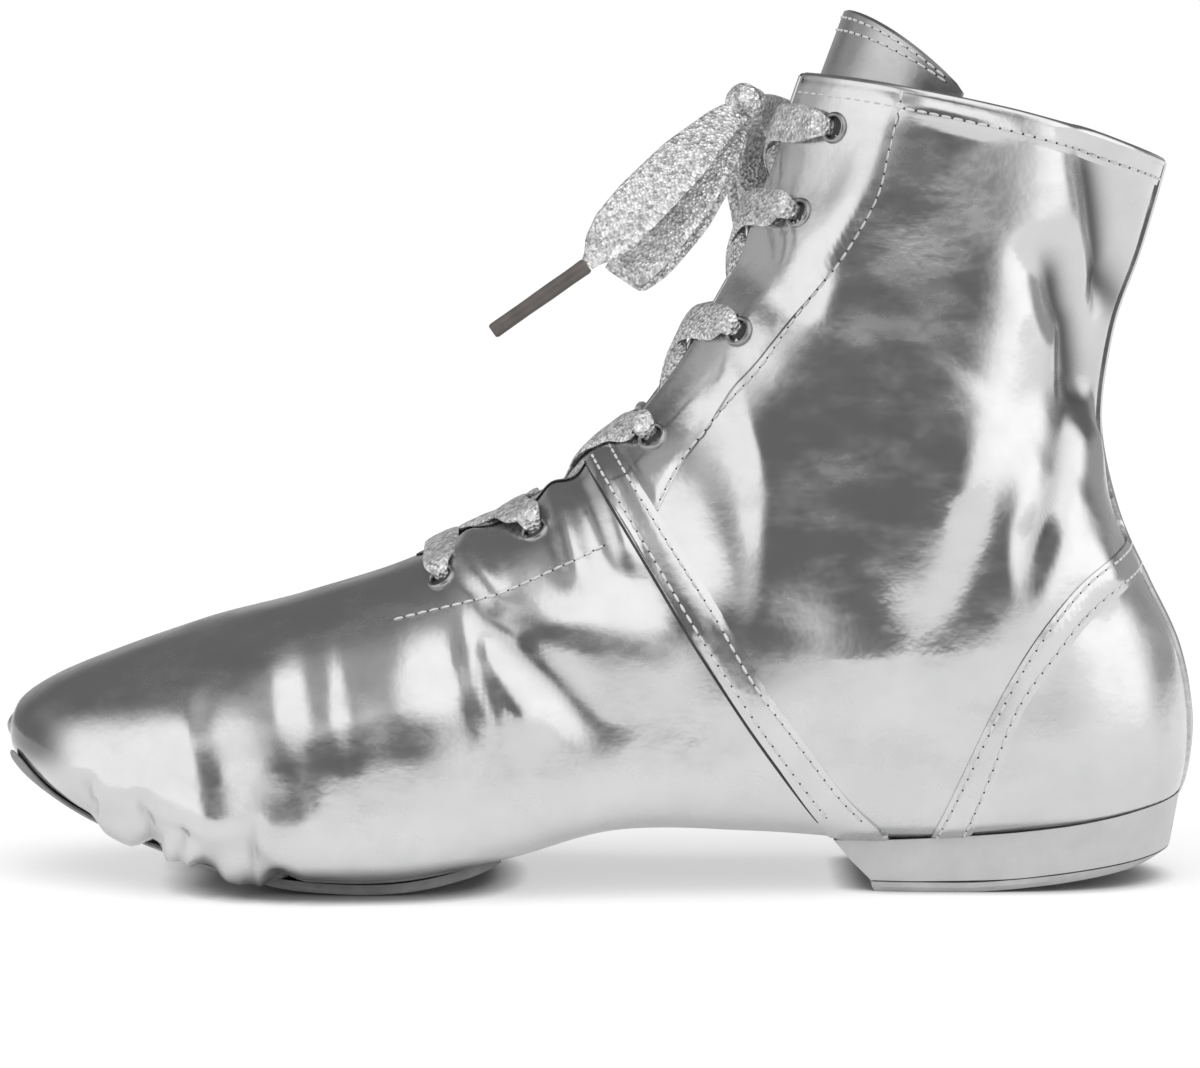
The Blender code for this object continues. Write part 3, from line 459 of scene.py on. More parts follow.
def add_piece(name, vertices, faces, material, slot, replaced=(), sharp=60.0, crease=None):
    mesh = bpy.data.meshes.new(name)
    mesh.from_pydata([tuple(v) for v in (np.asarray(vertices) - FRAME_ORIGIN).tolist()], [], faces)
    # Darkening painted into the colour, read by the foil material
    if crease is not None:
        mesh.attributes.new("crease", "FLOAT", "POINT").data.foreach_set("value", crease)
    work = bmesh.new()
    work.from_mesh(mesh)
    bmesh.ops.remove_doubles(work, verts=work.verts, dist=2e-6)
    loose = [v for v in work.verts if not v.link_faces]
    bmesh.ops.delete(work, geom=loose, context="VERTS")
    work.to_mesh(mesh)
    work.free()
    for face in mesh.polygons:
        face.use_smooth = True
    mesh.set_sharp_from_angle(angle=math.radians(sharp))
    mesh.materials.append(material)
    piece = bpy.data.objects.new(name, mesh)
    bpy.context.collection.objects.link(piece)
    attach(piece, "root")
    if replaced:
        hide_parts(*replaced)
    return piece


def grid_faces(rows, cols, start=0, flip=False, closed=False):
    """Quads of a grid of points; closed joins its last row to its first."""
    faces = []
    for i in range(rows if closed else rows - 1):
        a, b = (start + row % rows * cols for row in (i, i + 1))
        for j in range(cols - 1):
            quad = (a + j, b + j, b + j + 1, a + j + 1)
            faces.append(quad[::-1] if flip else quad)
    return faces


def outside_holes(points, faces, centres, radius):
    """Faces whose middle is clear of every eyelet hole."""
    middles = np.array([np.mean(points[list(face)], axis=0) for face in faces])
    keep = np.ones(len(faces), dtype=bool)
    for centre in centres:
        keep &= np.linalg.norm(middles - centre, axis=1) > radius
    return [face for face, kept in zip(faces, keep) if kept]


def cut_panel(values, lift, skirt=0.4 * MM):
    """Part of the upper where values are not negative, raised by lift, with a turned-down edge."""
    rows = np.column_stack((FACE.reshape(-1, 3), FACE_NORMAL.reshape(-1, 3), values.ravel()))
    inside = rows[:, 6] >= 0
    made = {}

    def between(i, j):
        """Number of the new row where the values pass nought on one edge."""
        key = (min(i, j), max(i, j))
        if key not in made:
            share = rows[i, 6] / (rows[i, 6] - rows[j, 6])
            made[key] = (len(rows) + len(made), rows[i] + share * (rows[j] - rows[i]))
        return made[key][0]

    count = inside[TRIANGLES].sum(axis=1)
    faces = [tuple(t) for t in TRIANGLES[count == 3]]
    for tri in TRIANGLES[(count == 1) | (count == 2)]:
        loop = []
        for i, j in zip(tri, np.roll(tri, -1)):
            if inside[i]:
                loop.append(i)
            if inside[i] != inside[j]:
                loop.append(between(i, j))
        faces.append(tuple(loop))
    used = sorted({i for face in faces for i in face})
    place = {old: new for new, old in enumerate(used)}
    faces = [tuple(place[i] for i in face) for face in faces]
    kept = np.vstack([rows] + [row for _, row in made.values()])[used]
    spots, outs = kept[:, :3], unit(kept[:, 3:6])
    vertices = list(spots + outs * lift(kept[:, 6] * MM)[:, None])
    edges = {}
    for face in faces:
        for pair in zip(face, face[1:] + face[:1]):
            if edges.pop(pair[::-1], None) is None:
                edges[pair] = True
    low = {}
    for a, b in edges:
        for i in (a, b):
            if i not in low:
                low[i] = len(vertices)
                vertices.append(spots[i] - outs[i] * skirt)
        faces.append((b, a, low[a], low[b]))
    return np.array(vertices), faces


def rounded(height, edge=EDGE_ROUND):
    """Panel height that rolls down at the panel's edge."""
    return lambda inside: height * (0.62 + 0.38 * smooth(0.0, edge, inside))


def ribbon_rows(table, count):
    """Smooth rows of place, face direction, width and thickness."""
    rows = curve_through([tuple(p) + tuple(f) + (w, t) for p, f, w, t in table], count)
    return rows[:, :3], unit(rows[:, 3:6]), rows[:, 6], rows[:, 7]


def ribbon_mesh(places, faces_to, widths, thicks, around=14, curl=0.0, closed=False):
    """Flat woven strip with rounded edges; curl hollows it across its width."""
    if closed:
        ahead = unit(np.roll(places, -1, axis=0) - np.roll(places, 1, axis=0))
    else:
        ahead = unit(np.gradient(places, axis=0))
    across = unit(np.cross(faces_to, ahead))
    up = np.cross(ahead, across)
    angles = 2 * math.pi * np.arange(around) / around
    c, s = (np.sign(v) * np.abs(v) ** 0.7 for v in (np.cos(angles), np.sin(angles)))
    widths, thicks = (np.broadcast_to(size, len(places))[:, None] for size in (widths, thicks))
    aside = 0.5 * widths * c
    rise = 0.5 * thicks * s + curl * widths * (c * c - 0.4)
    vertices = places[:, None] + across[:, None] * aside[..., None] + up[:, None] * rise[..., None]
    count = len(places)
    faces = []
    for i in range(count if closed else count - 1):
        j = (i + 1) % count
        for k in range(around):
            m = (k + 1) % around
            faces.append((i * around + k, i * around + m, j * around + m, j * around + k))
    if not closed:
        faces.append(tuple(range(around))[::-1])
        faces.append(tuple((count - 1) * around + k for k in range(around)))
    return vertices.reshape(-1, 3), faces


def turned_mesh(profile, centre, axis, count=32):
    """Surface turned about an axis from an open profile of radius and height in millimetres."""
    axis = Vector(axis).normalized()
    side = axis.orthogonal().normalized()
    angles = 2 * math.pi * np.arange(count)[:, None] / count
    way = np.cos(angles) * np.array(side) + np.sin(angles) * np.array(axis.cross(side))
    radius, height = np.array(profile).T[..., None] * MM
    vertices = centre + way[:, None] * radius + np.array(axis) * height
    return vertices.reshape(-1, 3), grid_faces(count, len(profile), closed=True)


def join(parts):
    vertices = []
    faces = []
    for points, loops in parts:
        shift = len(vertices)
        vertices.extend(points)
        faces.extend(tuple(i + shift for i in loop) for loop in loops)
    return np.array(vertices), faces


# Materials

def fill(tree, socket, given):
    """Link a socket to another one, or set its value."""
    if isinstance(given, bpy.types.NodeSocket):
        tree.links.new(given, socket)
    elif socket.type == "RGBA":
        socket.default_value = given + (1.0,)
    else:
        socket.default_value = given


def node(tree, kind, *given, **values):
    """New node, its first sockets filled in order, its other sockets and its settings by name."""
    made = tree.nodes.new(kind)
    for key, value in values.items():
        if key in made.inputs:
            fill(tree, made.inputs[key], value)
        else:
            setattr(made, key, value)
    for socket, value in zip(made.inputs, given):
        fill(tree, socket, value)
    return made


def new_material(name, colour, metallic, roughness):
    """Material, its node tree and the sockets of its shader."""
    made = bpy.data.materials.new(name)
    made.use_nodes = True
    sockets = made.node_tree.nodes["Principled BSDF"].inputs
    for key, value in (("Base Color", colour), ("Metallic", metallic), ("Roughness", roughness)):
        fill(made.node_tree, sockets[key], value)
    return made, made.node_tree, sockets


def noise_of(tree, size, detail=3.0, roughness=0.55, stretch=(1.0, 1.0, 1.0)):
    """Noise in the object's own space with grains of one size in metres, drawn out by a small share."""
    where = node(tree, "ShaderNodeTexCoord").outputs["Object"]
    drawn = node(tree, "ShaderNodeMapping", where, Scale=stretch).outputs[0]
    grain = node(tree, "ShaderNodeTexNoise", drawn, Scale=1.0 / size, Detail=detail, Roughness=roughness)
    return grain.outputs["Fac"]


def ranged(tree, source, low, high, first=0.3, last=0.7):
    return node(tree, "ShaderNodeMapRange", source, first, last, low, high).outputs["Result"]


def mixed(tree, factor, first, last):
    """Mix of two colours, each a colour or a socket."""
    mix = node(tree, "ShaderNodeMix", factor, data_type="RGBA")
    for socket, colour in zip([s for s in mix.inputs if s.type == "RGBA"], (first, last)):
        fill(tree, socket, colour)
    return [s for s in mix.outputs if s.type == "RGBA"][0]


def bumped(tree, layers):
    """Chain of bumps: height source and distance in metres."""
    bump = None
    for source, distance in layers:
        values = {"Height": source, "Distance": distance, "Strength": 1.0}
        if bump is not None:
            values["Normal"] = bump
        bump = node(tree, "ShaderNodeBump", **values).outputs["Normal"]
    return bump


def foil(name, light, dark, roughness, crinkle=0.00005, grain=0.000024):
    """Silver foil on soft leather: faint mottling, painted shade and darker patches from an attribute, worn
    patches with a fine grain, crinkles.
    """
    made, tree, sockets = new_material(name, light, 0.95, roughness)
    mottled = mixed(tree, ranged(tree, noise_of(tree, 0.011, 4.0), 0.0, 1.0), dark, light)
    # The attribute darkens the colour: painted shade in troughs and along the arch's lower edge, and darker
    # patches
    crease = node(tree, "ShaderNodeAttribute", attribute_name="crease").outputs["Fac"]
    fill(tree, sockets["Base Color"], mixed(tree, crease, mottled, PAINTED_SHADE_COLOUR))
    worn = noise_of(tree, 0.010, 5.0, 0.62, GRAIN_STRETCH)
    fill(tree, sockets["Roughness"], ranged(tree, worn, roughness - 0.04, roughness + 0.15, *WORN_RANGE))
    shown = node(tree, "ShaderNodeMath", noise_of(tree, 0.0012, 2.0, 0.55, GRAIN_STRETCH),
                 ranged(tree, worn, 0.25, 1.0, *WORN_RANGE), operation="MULTIPLY").outputs[0]
    fill(tree, sockets["Normal"], bumped(tree, ((noise_of(tree, 0.0034, 2.0), crinkle), (shown, grain))))
    return made


def lurex(name):
    """Woven metallic lace: bright and dark threads in small cells."""
    made, tree, sockets = new_material(name, (0.62, 0.62, 0.62), 0.6, 0.32)
    where = node(tree, "ShaderNodeTexCoord").outputs["Object"]
    cells = node(tree, "ShaderNodeTexVoronoi", where, Scale=1350.0)
    tone = node(tree, "ShaderNodeSeparateColor", cells.outputs["Color"]).outputs[0]
    fill(tree, sockets["Base Color"], mixed(tree, tone, (0.36, 0.36, 0.36), (0.95, 0.95, 0.95)))
    fill(tree, sockets["Normal"], bumped(tree, ((cells.outputs["Distance"], 0.00040),)))
    return made


def matte(name, light, dark, roughness, grain, depth):
    """Dull surface with speckles six times and sheen patches nine times as large as its grain."""
    made, tree, sockets = new_material(name, light, 0.0, roughness)
    speckle = ranged(tree, noise_of(tree, grain * 6, 4.0), 0.0, 1.0)
    fill(tree, sockets["Base Color"], mixed(tree, speckle, dark, light))
    sheen = ranged(tree, noise_of(tree, grain * 9), roughness - 0.08, roughness + 0.08)
    fill(tree, sockets["Roughness"], sheen)
    fill(tree, sockets["Normal"], bumped(tree, ((noise_of(tree, grain, 3.0), depth),)))
    return made


silver = foil("silver_foil", (0.63, 0.63, 0.632), (0.575, 0.575, 0.577), 0.18)
silver_panel = foil("silver_foil_panel", (0.64, 0.64, 0.642), (0.585, 0.585, 0.587), 0.18, 0.00008)
tongue_foil = foil("silver_foil_tongue", (0.47, 0.47, 0.472), (0.40, 0.40, 0.402), 0.22)
lining = matte("lining_fabric", (0.52, 0.51, 0.50), (0.42, 0.41, 0.40), 0.85, 0.0006, 0.00012)
sole_suede = matte("sole_suede", (0.30, 0.30, 0.304), (0.23, 0.23, 0.233), 0.80, 0.0007, 0.00020)
heel_plastic = matte("heel_plastic", (0.52, 0.52, 0.52), (0.47, 0.47, 0.475), 0.50, 0.0009, 0.00005)
heel_rubber = matte("heel_rubber", (0.46, 0.46, 0.46), (0.38, 0.38, 0.385), 0.65, 0.0009, 0.00010)
ring_metal = foil("eyelet_ring", (0.38, 0.38, 0.38), (0.29, 0.29, 0.29), 0.24)
lace_thread = lurex("lace_thread")
aglet_resin = matte("aglet_resin", (0.13, 0.115, 0.105), (0.07, 0.062, 0.058), 0.35, 0.0012, 0.00006)
thread = matte("sewing_thread", (0.66, 0.66, 0.66), (0.50, 0.50, 0.50), 0.45, 0.0004, 0.00008)
# Near black, for painted shade: eyelet holes, needle holes and the line under each band's front edge
shade = matte("painted_shade", (0.06, 0.06, 0.06), (0.03, 0.03, 0.03), 0.8, 0.0006, 0.00005)


# Upper: skin, toe, panels

def tree_of(points, faces):
    return BVHTree.FromPolygons([Vector(p) for p in points], faces)


FACE_POINTS = FACE.reshape(-1, 3)
FACE_TRIANGLES = [tuple(t) for t in TRIANGLES.tolist()]
plain_tree = tree_of(FACE_POINTS, FACE_TRIANGLES)


def on_side(tree, x, z, outer):
    """Place and outward direction of a surface seen from the side."""
    sign = 1.0 if outer else -1.0
    hit = tree.ray_cast(Vector((x * MM, sign * 0.2, z * MM)), Vector((0.0, -sign, 0.0)))
    if hit[0] is None or hit[0].y * sign < -0.002:
        return None
    out = hit[1] if hit[1].y * sign > 0 else -hit[1]
    return np.array(hit[0]), np.array(out)


EYELET_CENTRES = [on_side(plain_tree, x, z, outer)[0] for x, z in EYELETS for outer in (True, False)]

toe_middle = FACE[0][:-1].mean(axis=0)
toe_rows = [toe_middle + (FACE[0] - toe_middle) * share + np.array((TOE_BULGE * (1 - share ** 2), 0, 0))
            for share in (0.0, 0.25, 0.5, 0.75)]
outside = np.vstack(toe_rows + [FACE_POINTS])
outside_faces = grid_faces(len(stations) + len(toe_rows), COLUMNS)
outside_faces = outside_holes(outside, outside_faces, EYELET_CENTRES, CUT_RADIUS)
# Painted darkening at each point; the toe rows take the first row's
outside_darkening = np.concatenate((np.tile(PAINTED_DARKENING[0], len(toe_rows)), PAINTED_DARKENING.ravel()))
add_piece("upper_skin", outside, outside_faces, silver, "silver_upper", ("upper",), crease=outside_darkening)

lining_rows = list(range(0, len(stations), 2))
lining_rows[-1] = len(stations) - 1
lining_cols = list(range(0, COLUMNS, 2))
inside = (FACE - FACE_NORMAL * WALL)[np.ix_(lining_rows, lining_cols)].reshape(-1, 3)
inside_faces = grid_faces(len(lining_rows), len(lining_cols), flip=True)
inside_faces = outside_holes(inside, inside_faces, EYELET_CENTRES, CUT_RADIUS + 0.6 * MM)
add_piece("upper_lining", inside, inside_faces, lining, "insole_lining")


def least(*values):
    return np.minimum.reduce(values)


front_gap, rear_gap, seam_gap, strap_high, strap_low = (
    side_distance(SIDE_X, SIDE_Z, line)[0]
    for line in (BAND_FRONT, BAND_REAR, EYESTAY_SEAM, STRAP_UPPER, STRAP_LOWER))
panels = {}
for side, sign in (("outer", 1.0), ("inner", -1.0)):
    on_this = sign * BASE[..., 1] / MM - 0.5
    band = cut_panel(least(-front_gap, rear_gap, on_this), rounded(BAND_LIFT))
    panels["band_%s_panel" % side] = (band, ("band_%s" % side,), "silver_band")
    facing = cut_panel(least(seam_gap, -rear_gap, on_this, TO_COLLAR / MM - 0.2), rounded(EYESTAY_LIFT))
    panels["eyestay_%s" % side] = (facing, (), "silver_upper")
strap = least(-strap_high, strap_low, STRAP_TOP - SIDE_Z, STRAP_FRONT - SIDE_X)
panels["heel_strap_panel"] = (cut_panel(strap, rounded(STRAP_LIFT)), ("heel_strap",), "silver_band")
hem = cut_panel((HEM_DEPTH - TO_COLLAR) / MM, rounded(HEM_LIFT))
panels["collar_hem"] = (hem, (), "silver_upper")
back = least((SEAM_HALF - np.abs(BASE[..., 1])) / MM, 10 * (S - SEAM_BASE), 10 * (SEAM_TURN - np.abs(T)))
panels["back_seam"] = (cut_panel(back, rounded(SEAM_LIFT, SEAM_ROUND)), (), "silver_upper")
for name, ((points, faces), replaced, slot) in panels.items():
    kept = outside_holes(points, faces, EYELET_CENTRES, CUT_RADIUS)
    add_piece(name, points, kept, silver_panel, slot, replaced, 50.0)
full_tree = tree_of(*join([(FACE_POINTS, FACE_TRIANGLES)] + [panel[0] for panel in panels.values()]))


def rolled_edge(edge, beyond, out, above, below, tuck=2.2 * MM, lap=0.7 * MM):
    """Folded edge of the upper round one rim, from its outside over the rim to its inside."""
    radius = 0.5 * (above + below)
    rows = [edge - beyond * lap + out * above * 0.9]
    for angle in np.linspace(0, math.pi, 7):
        over = above - radius + radius * math.cos(angle)
        rows.append(edge + out * over + beyond * radius * math.sin(angle) * 0.8)
    rows.append(edge - beyond * tuck - out * below)
    points = np.array(rows)
    return points.reshape(-1, 3), grid_faces(points.shape[0], points.shape[1])


collar_beyond = unit(FACE[-1] - FACE[-3])
rims = [rolled_edge(FACE[-1], collar_beyond, FACE_NORMAL[-1], HEM_LIFT + 0.15 * MM, WALL + 0.3 * MM)]
open_rows = stations > THROAT_BASE - 0.05
for edge, next_in in ((0, 2), (-1, -3)):
    line = FACE[open_rows, edge]
    beyond = unit(line - FACE[open_rows, next_in])
    lift = np.where(stations[open_rows] > FACING_BASE, EYESTAY_LIFT, VAMP_EDGE_LIFT)[:, None]
    rims.append(rolled_edge(line, beyond, FACE_NORMAL[open_rows, edge], lift + 0.1 * MM, WALL + 0.2 * MM))
add_piece("upper_edges", *join(rims), silver_panel, "silver_upper")


# Sole, heel, insole and tongue

def slab_mesh(top, low, bulge=0.0):
    """Closed sheet between two grids with a rounded edge."""
    rows, cols = top.shape[:2]
    rim = [(i, 0) for i in range(rows)] + [(rows - 1, j) for j in range(1, cols)]
    rim += [(i, cols - 1) for i in range(rows - 2, -1, -1)] + [(0, j) for j in range(cols - 2, 0, -1)]
    vertices = list(top.reshape(-1, 3)) + list(low.reshape(-1, 3))
    faces = grid_faces(rows, cols) + grid_faces(rows, cols, rows * cols, True)
    first = len(vertices)
    for i, j in rim:
        inward = unit(top[min(max(i, 1), rows - 2), min(max(j, 1), cols - 2)] - top[i, j])
        vertices.append((top[i, j] + low[i, j]) / 2 - inward * bulge)
    for k in range(len(rim)):
        m = (k + 1) % len(rim)
        a, b = (r[0] * cols + r[1] for r in (rim[k], rim[m]))
        faces.append((a, b, first + m, first + k))
        faces.append((first + k, first + m, rows * cols + b, rows * cols + a))
    return np.array(vertices), faces


def sheet_grid(table, last, rows, cols, middle=0.0):
    """Stations, points and outward directions of a sheet along the foot, and its shares across."""
    along = np.linspace(table[0][0], last, rows)
    halves = np.interp(along, [row[0] for row in table], [row[1] for row in table])
    shares = np.linspace(-1.0, 1.0, cols)
    turns = shares * halves[:, None]
    if middle:
        turns = np.where(shares >= 0, middle, -middle) - turns
    at = np.repeat(along[:, None], cols, axis=1)
    return at, skin(at, turns), normal(at, turns), shares


at, points, out, _ = sheet_grid(SOLE_ROWS, SOLE_ROWS[-1][0], 90, 61)
sole_thick = SOLE_THICK * (SOLE_TOE_SHARE + (1 - SOLE_TOE_SHARE) * smooth(*SOLE_TAPER, at))
sole_low = points + out * (GAP + sole_thick)[..., None]
sole_low[..., 2] = np.maximum(sole_low[..., 2], 0.0)
patch = slab_mesh(points + out * GAP, sole_low, 0.5 * MM)
add_piece("forefoot_sole_patch", *patch, sole_suede, "sole_patch", ("forefoot_sole",), 50.0)

at, points, out, _ = sheet_grid(INSOLE_ROWS, INSOLE_ROWS[-1][0], 110, 31)
insole_in = WALL + INSOLE_CLEAR + INSOLE_HEEL_RISE * np.clip(at - INSOLE_HEEL_BASE, 0, 1)
insole_low = points - out * insole_in[..., None]
pad = slab_mesh(insole_low - out * INSOLE_THICK, insole_low, 0.4 * MM)
add_piece("insole_pad", *pad, lining, "insole_lining", ("insole",), 50.0)

at, points, tongue_out, shares = sheet_grid(TONGUE_ROWS, COLLAR, 90, 61, math.pi)
free = np.clip((at - TONGUE_TOP_BASE) / (COLLAR - TONGUE_TOP_BASE), 0, 1)
tongue_in = WALL + TONGUE_CLEAR + TONGUE_TOP_IN * free
tongue_top = points - tongue_out * tongue_in[..., None]
tongue_edge = tongue_top[-1]
lean = unit(skin(COLLAR, math.pi) - skin(COLLAR - 1.0, math.pi))
crown = 1 - np.abs(shares) ** TONGUE_TOP_POWER
tongue_rise = lean * (TONGUE_CORNER_RISE + (TONGUE_RISE - TONGUE_CORNER_RISE) * crown)[:, None]
free_rows = np.linspace(0.0, 1.0, 16)[1:, None, None] * tongue_rise
tongue_low = tongue_top - tongue_out * TONGUE_THICK
tongue_low = np.concatenate((tongue_low, tongue_low[-1] + free_rows))
tongue_top = np.concatenate((tongue_top, tongue_edge + free_rows))
flap = slab_mesh(tongue_top, tongue_low, 0.5 * MM)
add_piece("tongue_flap", *flap, tongue_foil, "silver_tongue", ("tongue",), 50.0)


def heel_mesh(table, under_upper):
    """Wedge between an upper and a lower outline, hollowed on top where the upper sits in it."""
    shares = -np.cos(np.linspace(0, math.pi, 41))
    top = []
    low = []
    for top_x, top_half, top_z, foot_x, foot_half, foot_z in curve_through(table, 70) * MM:
        line = [np.array((top_x, share * top_half, top_z)) for share in shares]
        for spot in line if under_upper else ():
            hit = plain_tree.ray_cast(Vector((spot[0], spot[1], -0.01)), Vector((0, 0, 1)))[0]
            if hit is not None and hit.z < spot[2] + GAP:
                spot[2] = hit.z - GAP
        top.append(line)
        low.append([(foot_x, share * foot_half, max(foot_z, 0.0)) for share in shares])
    return slab_mesh(np.array(top), np.array(low), 0.35 * MM)


lift_top = LIFT_THICK / MM
heel_table = [row[:5] + (row[5] + lift_top + 0.3,) for row in HEEL_ROWS]
add_piece("heel_block_body", *heel_mesh(heel_table, True), heel_plastic, "heel_grey", ("heel_block",), 35.0)
lift_table = [(a, b, rise + lift_top, c, d, rise) for a, b, c, d, rise in LIFT_ROWS]
add_piece("heel_lift", *heel_mesh(lift_table, False), heel_rubber, "heel_rubber", ("heel_top_piece",), 35.0)


# Eyelets

RING = ((2.3, -2.2), (2.3, 0.2), (2.4, 0.55), (2.65, 0.75), (2.95, 0.7), (3.2, 0.4), (3.3, 0.05), (3.3, -0.3))
# Near-black disc inside each eyelet, painted shade of the hole: radius and height in millimetres
HOLE_SHADE_DISC = ((0, -0.6), (2.32, -0.6))
ring_parts = []
eyelet_shade_parts = []
eyelets = {True: [], False: []}
for x, z in EYELETS:
    for outer in (True, False):
        centre, out = on_side(full_tree, x, z, outer)
        around = [on_side(full_tree, x + dx, z + dz, outer) for dx, dz in ((4, 0), (-4, 0), (0, 4), (0, -4))]
        out = unit(np.mean([out] + [spot[1] for spot in around if spot is not None], axis=0))
        eyelets[outer].append((centre, out))
        ring_parts.append(turned_mesh(RING, centre, out))
        eyelet_shade_parts.append(turned_mesh(HOLE_SHADE_DISC, centre, out))
ring_names = ["eyelet_%s_%d" % (side, i) for side in ("outer", "inner") for i in range(1, 7)]
add_piece("eyelet_rings", *join(ring_parts), ring_metal, "eyelet_metal", ring_names)
# Near-black discs: painted shade inside the eyelet holes
add_piece("eyelet_hole_shade", *join(eyelet_shade_parts), shade, "sole_patch")


# Lace through the eyelets

# Ribbon out of an eyelet: height and tilt, then lead and width for a crossing and for the lowest bar
EXIT = ((-1.6, 0.9), (0.5, 0.5), (1.5, 0.0))
CROSSING_EXIT = ((1.0, 3.0), (1.9, 4.2), (3.8, 6.2))
BAR_EXIT = ((0.7, 2.8), (1.6, 3.8), (3.7, 6.0))
# Way of a crossing over the throat: share of the way to the next pair, share of the half throat, drop
CROSSING_WAY = ((0.27, 0.2, 0.0), (0.40, 0.7, 0.6), (0.52, 1.05, 1.1), (0.62, 1.4, 1.6), (0.74, 1.8, 2.6),
                (0.84, 2.15, 3.7))
CROSSING_OVER = EYESTAY_LIFT + 1.0 * MM
CROSSING_UNDER = 0.5 * MM


def on_skin(station, turn, offset):
    out = normal(station, turn)
    return skin(station, turn) + out * offset, out


def eyelet_station(number, outer):
    """Station and turn nearest to an eyelet."""
    near = np.linalg.norm(FACE - eyelets[outer][number][0], axis=2)
    i, j = np.unravel_index(np.argmin(near), near.shape)
    return stations[i], T[i, j]


def fold_rise(station, turn):
    """How far a fold lifts the upper at one place."""
    i = min(int(np.searchsorted(stations, station)), len(stations) - 1)
    j = int(np.argmin(np.abs(T[i] - turn)))
    return max(float(HEIGHT[i, j]), 0.0)


def out_of_eyelet(number, outer, towards, leads):
    """First rows of a ribbon that comes up through an eyelet and lies down towards a place."""
    centre, out = eyelets[outer][number]
    lead = unit(towards - centre)
    return [(centre + out * up * MM + lead * ahead * MM, out - lead * tilt, width * MM, LACE_THICK)
            for (up, tilt), (ahead, width) in zip(EXIT, leads)]


def crossing(number, outer):
    """Ribbon out of one eyelet, over the facing and down towards the next pair across the throat."""
    sign = 1.0 if outer else -1.0
    station, turn = eyelet_station(number, outer)
    turn = abs(turn)
    way = eyelet_station(number - 1, outer)[0] - station
    edge = throat_turn(station, outer)
    beside = (station + 0.05 * way, sign * (turn + 0.12))
    towards = on_skin(*beside, CROSSING_OVER + fold_rise(*beside))[0]
    rows = out_of_eyelet(number, outer, towards, CROSSING_EXIT)
    plan = [(0.14, (turn + edge) / 2 + 0.04, -0.1)]
    plan += [(share, edge + across * (math.pi - edge), drop) for share, across, drop in CROSSING_WAY]
    for share, round_to, drop in plan:
        here = station + share * way
        offset = CROSSING_OVER - drop * MM + fold_rise(here, sign * min(round_to, edge))
        spot, face = on_skin(here, sign * round_to, offset - (0.0 if outer else CROSSING_UNDER))
        rows.append((spot, face, LACE_WIDTH, LACE_THICK))
    return ribbon_mesh(*ribbon_rows(rows, 56), curl=-0.02)


def lowest_bar():
    """Ribbon across the throat between the two lowest eyelets, into both."""
    halves = []
    for outer, sign in ((True, 1.0), (False, -1.0)):
        station, turn = eyelet_station(0, outer)
        half = out_of_eyelet(0, outer, on_skin(station, turn + sign * 0.14, 1.2 * MM)[0], BAR_EXIT)
        for share in (0.4, 0.75):
            round_to = abs(turn) + share * (math.pi - abs(turn))
            half.append((*on_skin(station, sign * round_to, 1.6 * MM), LACE_WIDTH, LACE_THICK))
        halves.append(half)
    middle = (*on_skin(eyelet_station(0, True)[0], math.pi, 1.7 * MM), LACE_WIDTH, LACE_THICK)
    return ribbon_mesh(*ribbon_rows(halves[0] + [middle] + halves[1][::-1], 90), curl=-0.02)


def lace_piece(node_name, suffix, mesh):
    return add_piece(node_name + suffix, *mesh, lace_thread, "lace_lurex", (node_name,))


lace_piece("lace_bar", "_ribbon", lowest_bar())
for number in range(1, 6):
    both = join([crossing(number, True), crossing(number, False)])
    lace_piece("lace_crossing_%d" % number, "_ribbon", both)


# Bow

# Ribbon widths of the bow as shares of the lace's width, along a loop's half and along an end
LOOP_WIDTHS = ((0.0, 0.2, 0.5, 0.8, 0.93, 1.0), (0.7, 1.15, 1.5, 1.5, 1.3, 1.0))
END_WIDTHS = ((0.0, 0.15, 0.38, 0.65, 0.82, 0.92, 0.97, 1.0), (0.7, 1.0, 1.35, 1.45, 1.35, 0.95, 0.5, 0.36))
END_THICKS = ((0.0, 0.8, 1.0), (1.0, 1.0, 1.9))
BOW_STEP = 1.2 * MM
LOOP_APART = 2.6 * MM
KNOT_THICK = 2.2 * MM
# Bands of the knot: axis, two half sizes, width
KNOT_WRAPS = (((0.6, 0.35, -0.75), (3.3, 4.6), 5.5), ((0.7, -0.5, 0.5), (3.0, 4.0), 4.5),
              ((-0.1, 0.8, 0.5), (2.6, 3.4), 4.0))


def bow_face(side):
    """Direction that the broad face of a bow ribbon looks in."""
    return unit(np.array((0.35, side, 0.15)))


def bow_loop(name, table, side):
    """Loop of ribbon out of the knot and back, its two layers held apart."""
    out_way = curve_through(table, 40) * MM
    face = bow_face(side)
    swell = np.sin(np.clip(np.linspace(0, 1, 40) * 1.04, 0, 1) * math.pi) ** 0.6
    apart = face * (LOOP_APART * swell + 0.2 * MM)[:, None]
    tip = 2 * out_way[-1] - out_way[-4]
    path = np.vstack(((out_way + apart)[:-2], tip[None, :], (out_way - apart)[:-2][::-1]))
    path = even(curve_through(path[::3], 160), BOW_STEP)
    across = unit(np.cross(face, out_way[-1] - out_way[0]))
    faces_to = unit(np.cross(unit(np.gradient(path, axis=0)), across))
    widths = LACE_WIDTH * np.interp(1 - np.abs(np.linspace(-1, 1, len(path))), *LOOP_WIDTHS)
    mesh = ribbon_mesh(path, faces_to, widths, LACE_THICK, curl=0.03)
    lace_piece(name, "_ribbon", mesh)


def aglet_mesh(start, stop):
    first, last = np.array((start, stop)) * MM
    size = np.linalg.norm(last - first) / MM
    profile = ((0, -0.4), (1.45, -0.4), (1.7, 0.2), (1.62, 4), (1.66, 9), (1.58, 15), (1.62, size - 0.5),
               (1.35, size), (0, size))
    return turned_mesh(profile, first, last - first, 20)


